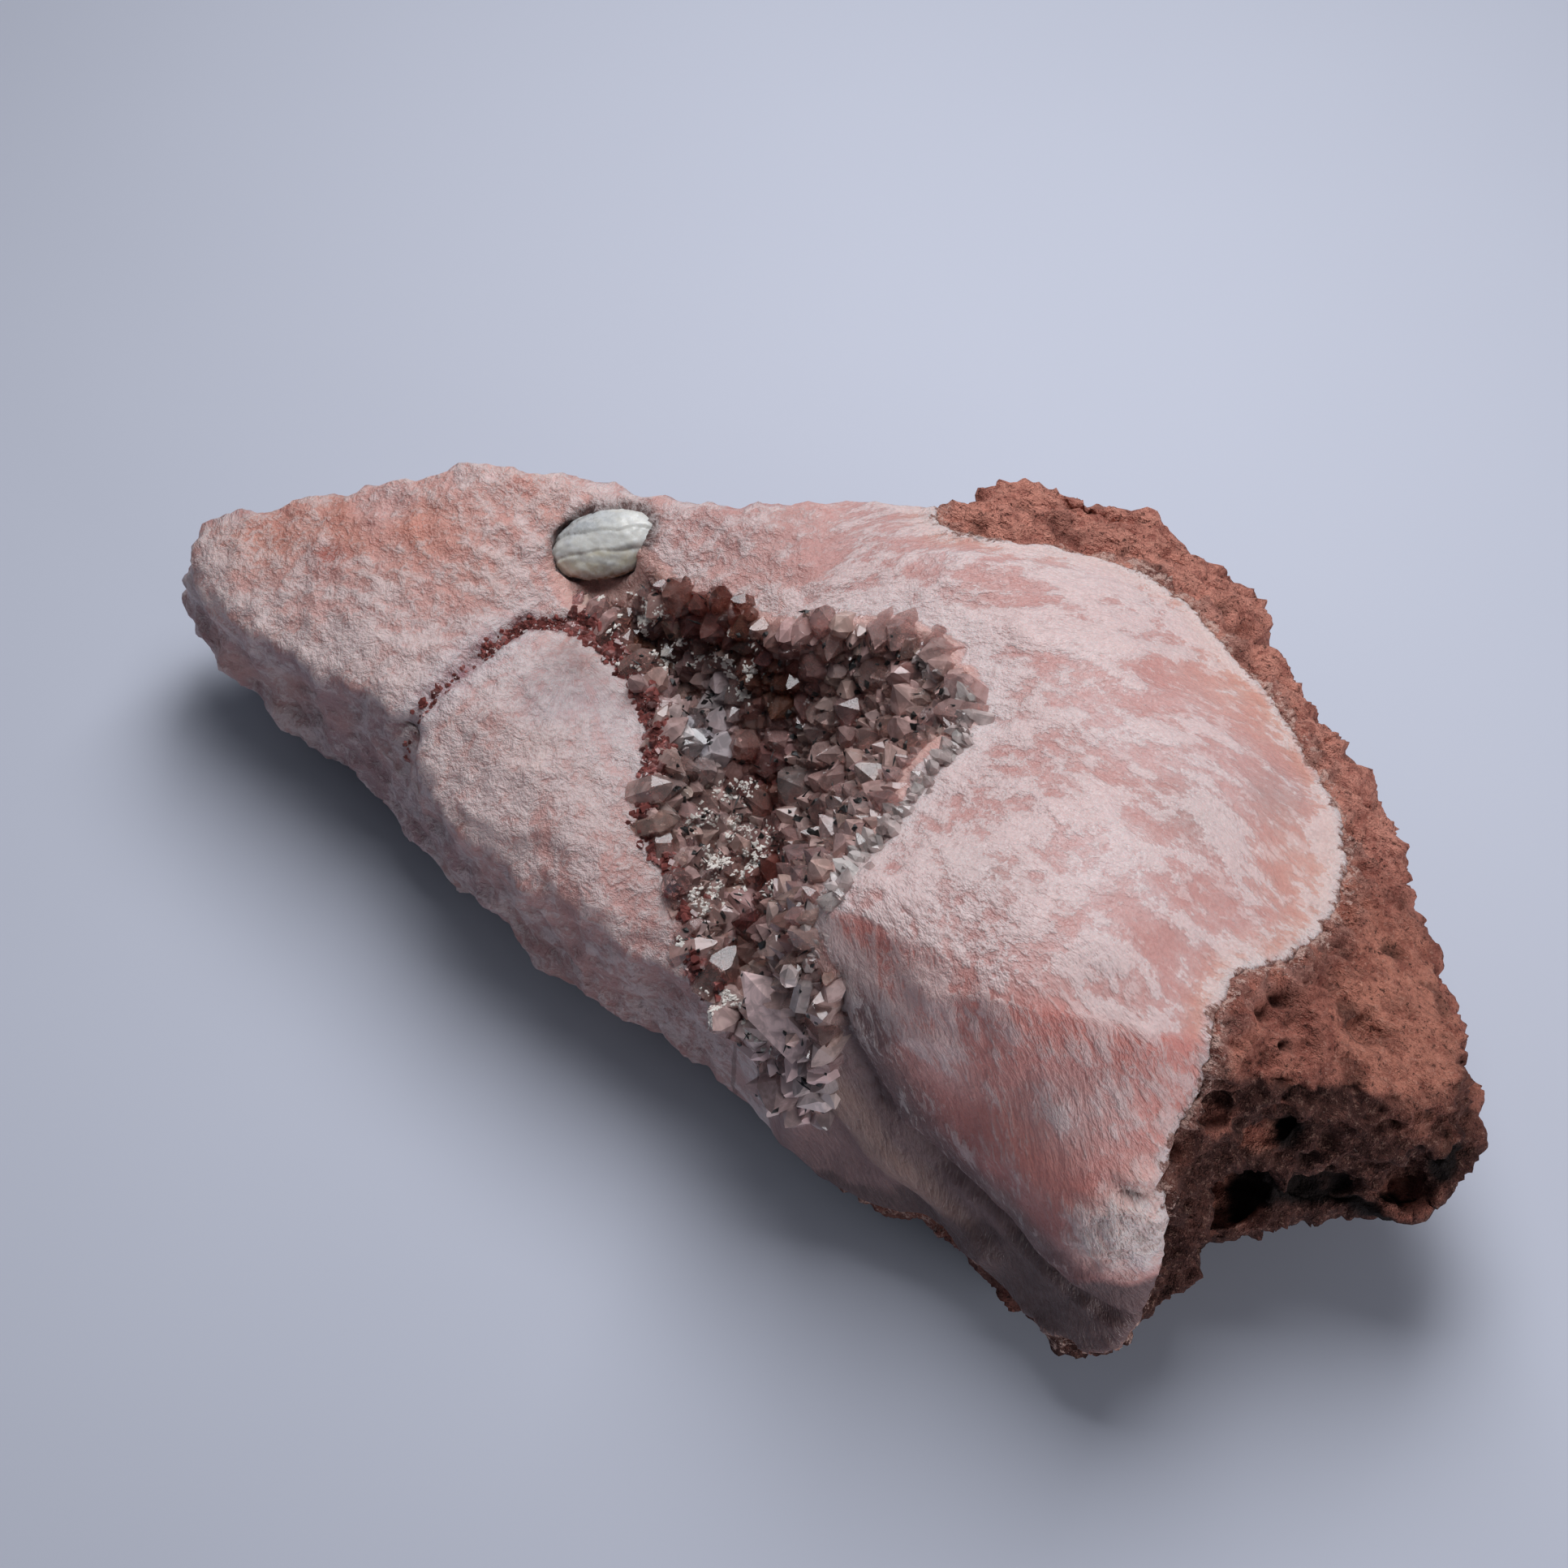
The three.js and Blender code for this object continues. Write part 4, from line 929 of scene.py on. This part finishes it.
def build_seam(surface):
    """Small dark red quartz points along the seam, few on its thin far end."""
    rng = np.random.default_rng(31)
    templates = [quartz_template(rng) for _ in range(8)]
    line = np.array(SEAM)
    parts, tints = [], []
    for _ in range(SEAM_TRIES):
        t = rng.uniform(0.6, len(line) - 1.001)
        i = int(t)
        if t < 2.4 and rng.random() < 0.9:
            continue
        x, y = line[i] + (t - i) * (line[i + 1] - line[i]) + rng.normal(0, 0.35 if i < 4 else 0.65, 2)
        place, normal = surface.below(x, y)
        if place is None or normal[2] < 0.3 or place[2] < 20:
            continue
        radius = rng.uniform(0.16, 0.34) * (1.0 if i < 4 else 1.5)
        points, faces = templates[rng.integers(8)]
        axis = unit(normal + rng.normal(0, 0.5, 3))
        parts.append((stood(points * radius - (0, 0, 0.3 * radius), axis, place, rng), faces))
        tints.append(np.append(np.array(SEAM_RED) * rng.uniform(0.4, 1.7), 1))
    points, faces, sizes = joined(parts)
    red = quartz_material("red_quartz", (0.70, 0.22, 0.20), 300.0)
    piece = mesh_from("seam_crystals", points, faces, red)
    put(piece, tint=np.repeat(tints, sizes, axis=0), haze=np.full(len(points), 0.75))


BLADE_MESH = (0.22, 4, 40_000)  # voxel, rounds of smoothing, most triangles


def build_blade():
    """A lens of white calcite in three leaves, glassy grey at the back, cream along the near edge and brown at its very
    rim, with painted shade on the faces turned down.
    """
    points, normals, triangles = refined("calcite_blade", *BLADE_MESH)
    middle = points.mean(axis=0)
    axes = np.linalg.svd(points - middle, full_matrices=False)[2]
    across = axes[1] * (1 if axes[1][1] > 0 else -1)
    along = axes[0] * (1 if axes[0][0] > 0 else -1)
    u, v = (points - middle) @ along, (points - middle) @ across
    wavy = v + 0.45 * rough(points, 3.2) + 0.10 * u
    near_parting, back_parting = np.abs(wavy + 0.9), np.abs(wavy - 1.2)
    lift = -0.09 * ramp(near_parting, 0.50, 0.02) - 0.04 * ramp(back_parting, 0.35, 0.02)
    lift += 0.18 * np.where(wavy > 1.2, 1, np.where(wavy < -0.9, -0.6, 0)) + 0.12 * coarse.octaves(points, 1.6)
    moved = points + normals * lift[:, None]
    tint = mixed(
        (0.76, 0.74, 0.68),
        ((0.80, 0.72, 0.54), 0.85 * ramp(wavy, -0.6, -1.3)),
        ((0.36, 0.37, 0.37), 0.8 * ramp(wavy, 0.5, 1.8) * ramp(u, 3.0, -2.0)),
        ((0.60, 0.62, 0.64), 0.5 * ramp(rough.octaves(points * (0.4, 1, 1), 1.4, 2), 0.0, 0.5)),
        # brown at the near rim, and painted shade on the faces turned down
        ((0.34, 0.20, 0.11), 0.9 * ramp(normals[:, 2], 0.1, -0.4) + 0.5 * ramp(wavy, -2.6, -3.3)),
        ((0.40, 0.35, 0.30), 0.35 * ramp(near_parting, 0.30, 0.03)),
    )
    silky = blade_material()
    piece = mesh_from("blade_leaves", moved, triangles.tolist(), silky, ["calcite_blade"], True)
    put(piece, tint=tint)


surface_of_vein = build_vein()
build_host()
build_blade()
vug = vug_ground()
druse = build_quartz(vug)
build_powder(druse, vug)
build_specks(druse, vug)
build_seam(surface_of_vein)

# ---------------------------------------------------------------- stage

TARGET = Vector((0.47, -6.33, 30.0)) * MM
AZIMUTH, ELEVATION, DISTANCE = math.radians(28), math.radians(57), 0.280
RIGHT = Vector((math.cos(AZIMUTH), math.sin(AZIMUTH), 0))
BEHIND = Vector((-RIGHT.y, RIGHT.x, 0))
TO_CAMERA = Vector((0, 0, math.sin(ELEVATION))) - BEHIND * math.cos(ELEVATION)
LAMPS = [  # name, metres behind, to the right of and above the target, sides, power, colour
    ("softbox", (0.105, 0.030, 0.250), (0.16, 0.22), 0.70, (0.94, 0.96, 1.0)),
    ("fill", (-0.31, 0.35, 0.065), (0.30, 0.12), 0.85, (0.96, 0.97, 1.0)),
]
FLOOR_REACH = 2  # metres from the middle to each side


def facing(place, away, side):
    """A transform at a place that looks along minus away, with side to its right."""
    return Matrix.Translation(place) @ Matrix((side, away.cross(side), away)).transposed().to_4x4()


camera = added("camera", bpy.data.cameras.new("camera"))
camera.data.lens, camera.data.sensor_width, camera.data.clip_start = 65, 36, 0.01
camera.matrix_world = facing(TARGET + TO_CAMERA * DISTANCE, TO_CAMERA, RIGHT)
bpy.context.scene.camera = camera

for name, (back, across, up), sides, power, colour in LAMPS:
    lamp = added(name, bpy.data.lights.new(name, "AREA"))
    lamp.visible_camera = False
    lamp.data.shape, lamp.data.energy, lamp.data.color = "RECTANGLE", power, colour
    lamp.data.size, lamp.data.size_y = sides
    place = TARGET + BEHIND * back + RIGHT * across + Vector((0, 0, up))
    away = (place - TARGET).normalized()
    lamp.matrix_world = facing(place, away, Vector((0, 0, 1)).cross(away).normalized())

world = bpy.data.worlds.new("room")
world.use_nodes = True
world.node_tree.nodes["Background"].inputs["Color"].default_value = (0.72, 0.78, 0.92, 1)
world.node_tree.nodes["Background"].inputs["Strength"].default_value = 0.10
bpy.context.scene.world = world

paper = Material("paper")
paper_colour = paper.mix(paper.noise(paper.place(), 60.0, 2), (0.655, 0.680, 0.785), (0.685, 0.710, 0.815))
paper.surface(Base_Color=paper_colour, Roughness=0.8)
floor_mesh = bpy.data.meshes.new("floor")
corners = [(x * FLOOR_REACH, y * FLOOR_REACH, 0) for x, y in ((-1, -1), (1, -1), (1, 1), (-1, 1))]
floor_mesh.from_pydata(corners, [], [(0, 1, 2, 3)])
floor_mesh.materials.append(paper.data)
floor = added("floor", floor_mesh)

bpy.context.scene.view_settings.view_transform = "Standard"
cycles = bpy.context.scene.cycles
cycles.max_bounces, cycles.diffuse_bounces, cycles.glossy_bounces, cycles.transmission_bounces = 6, 1, 2, 4
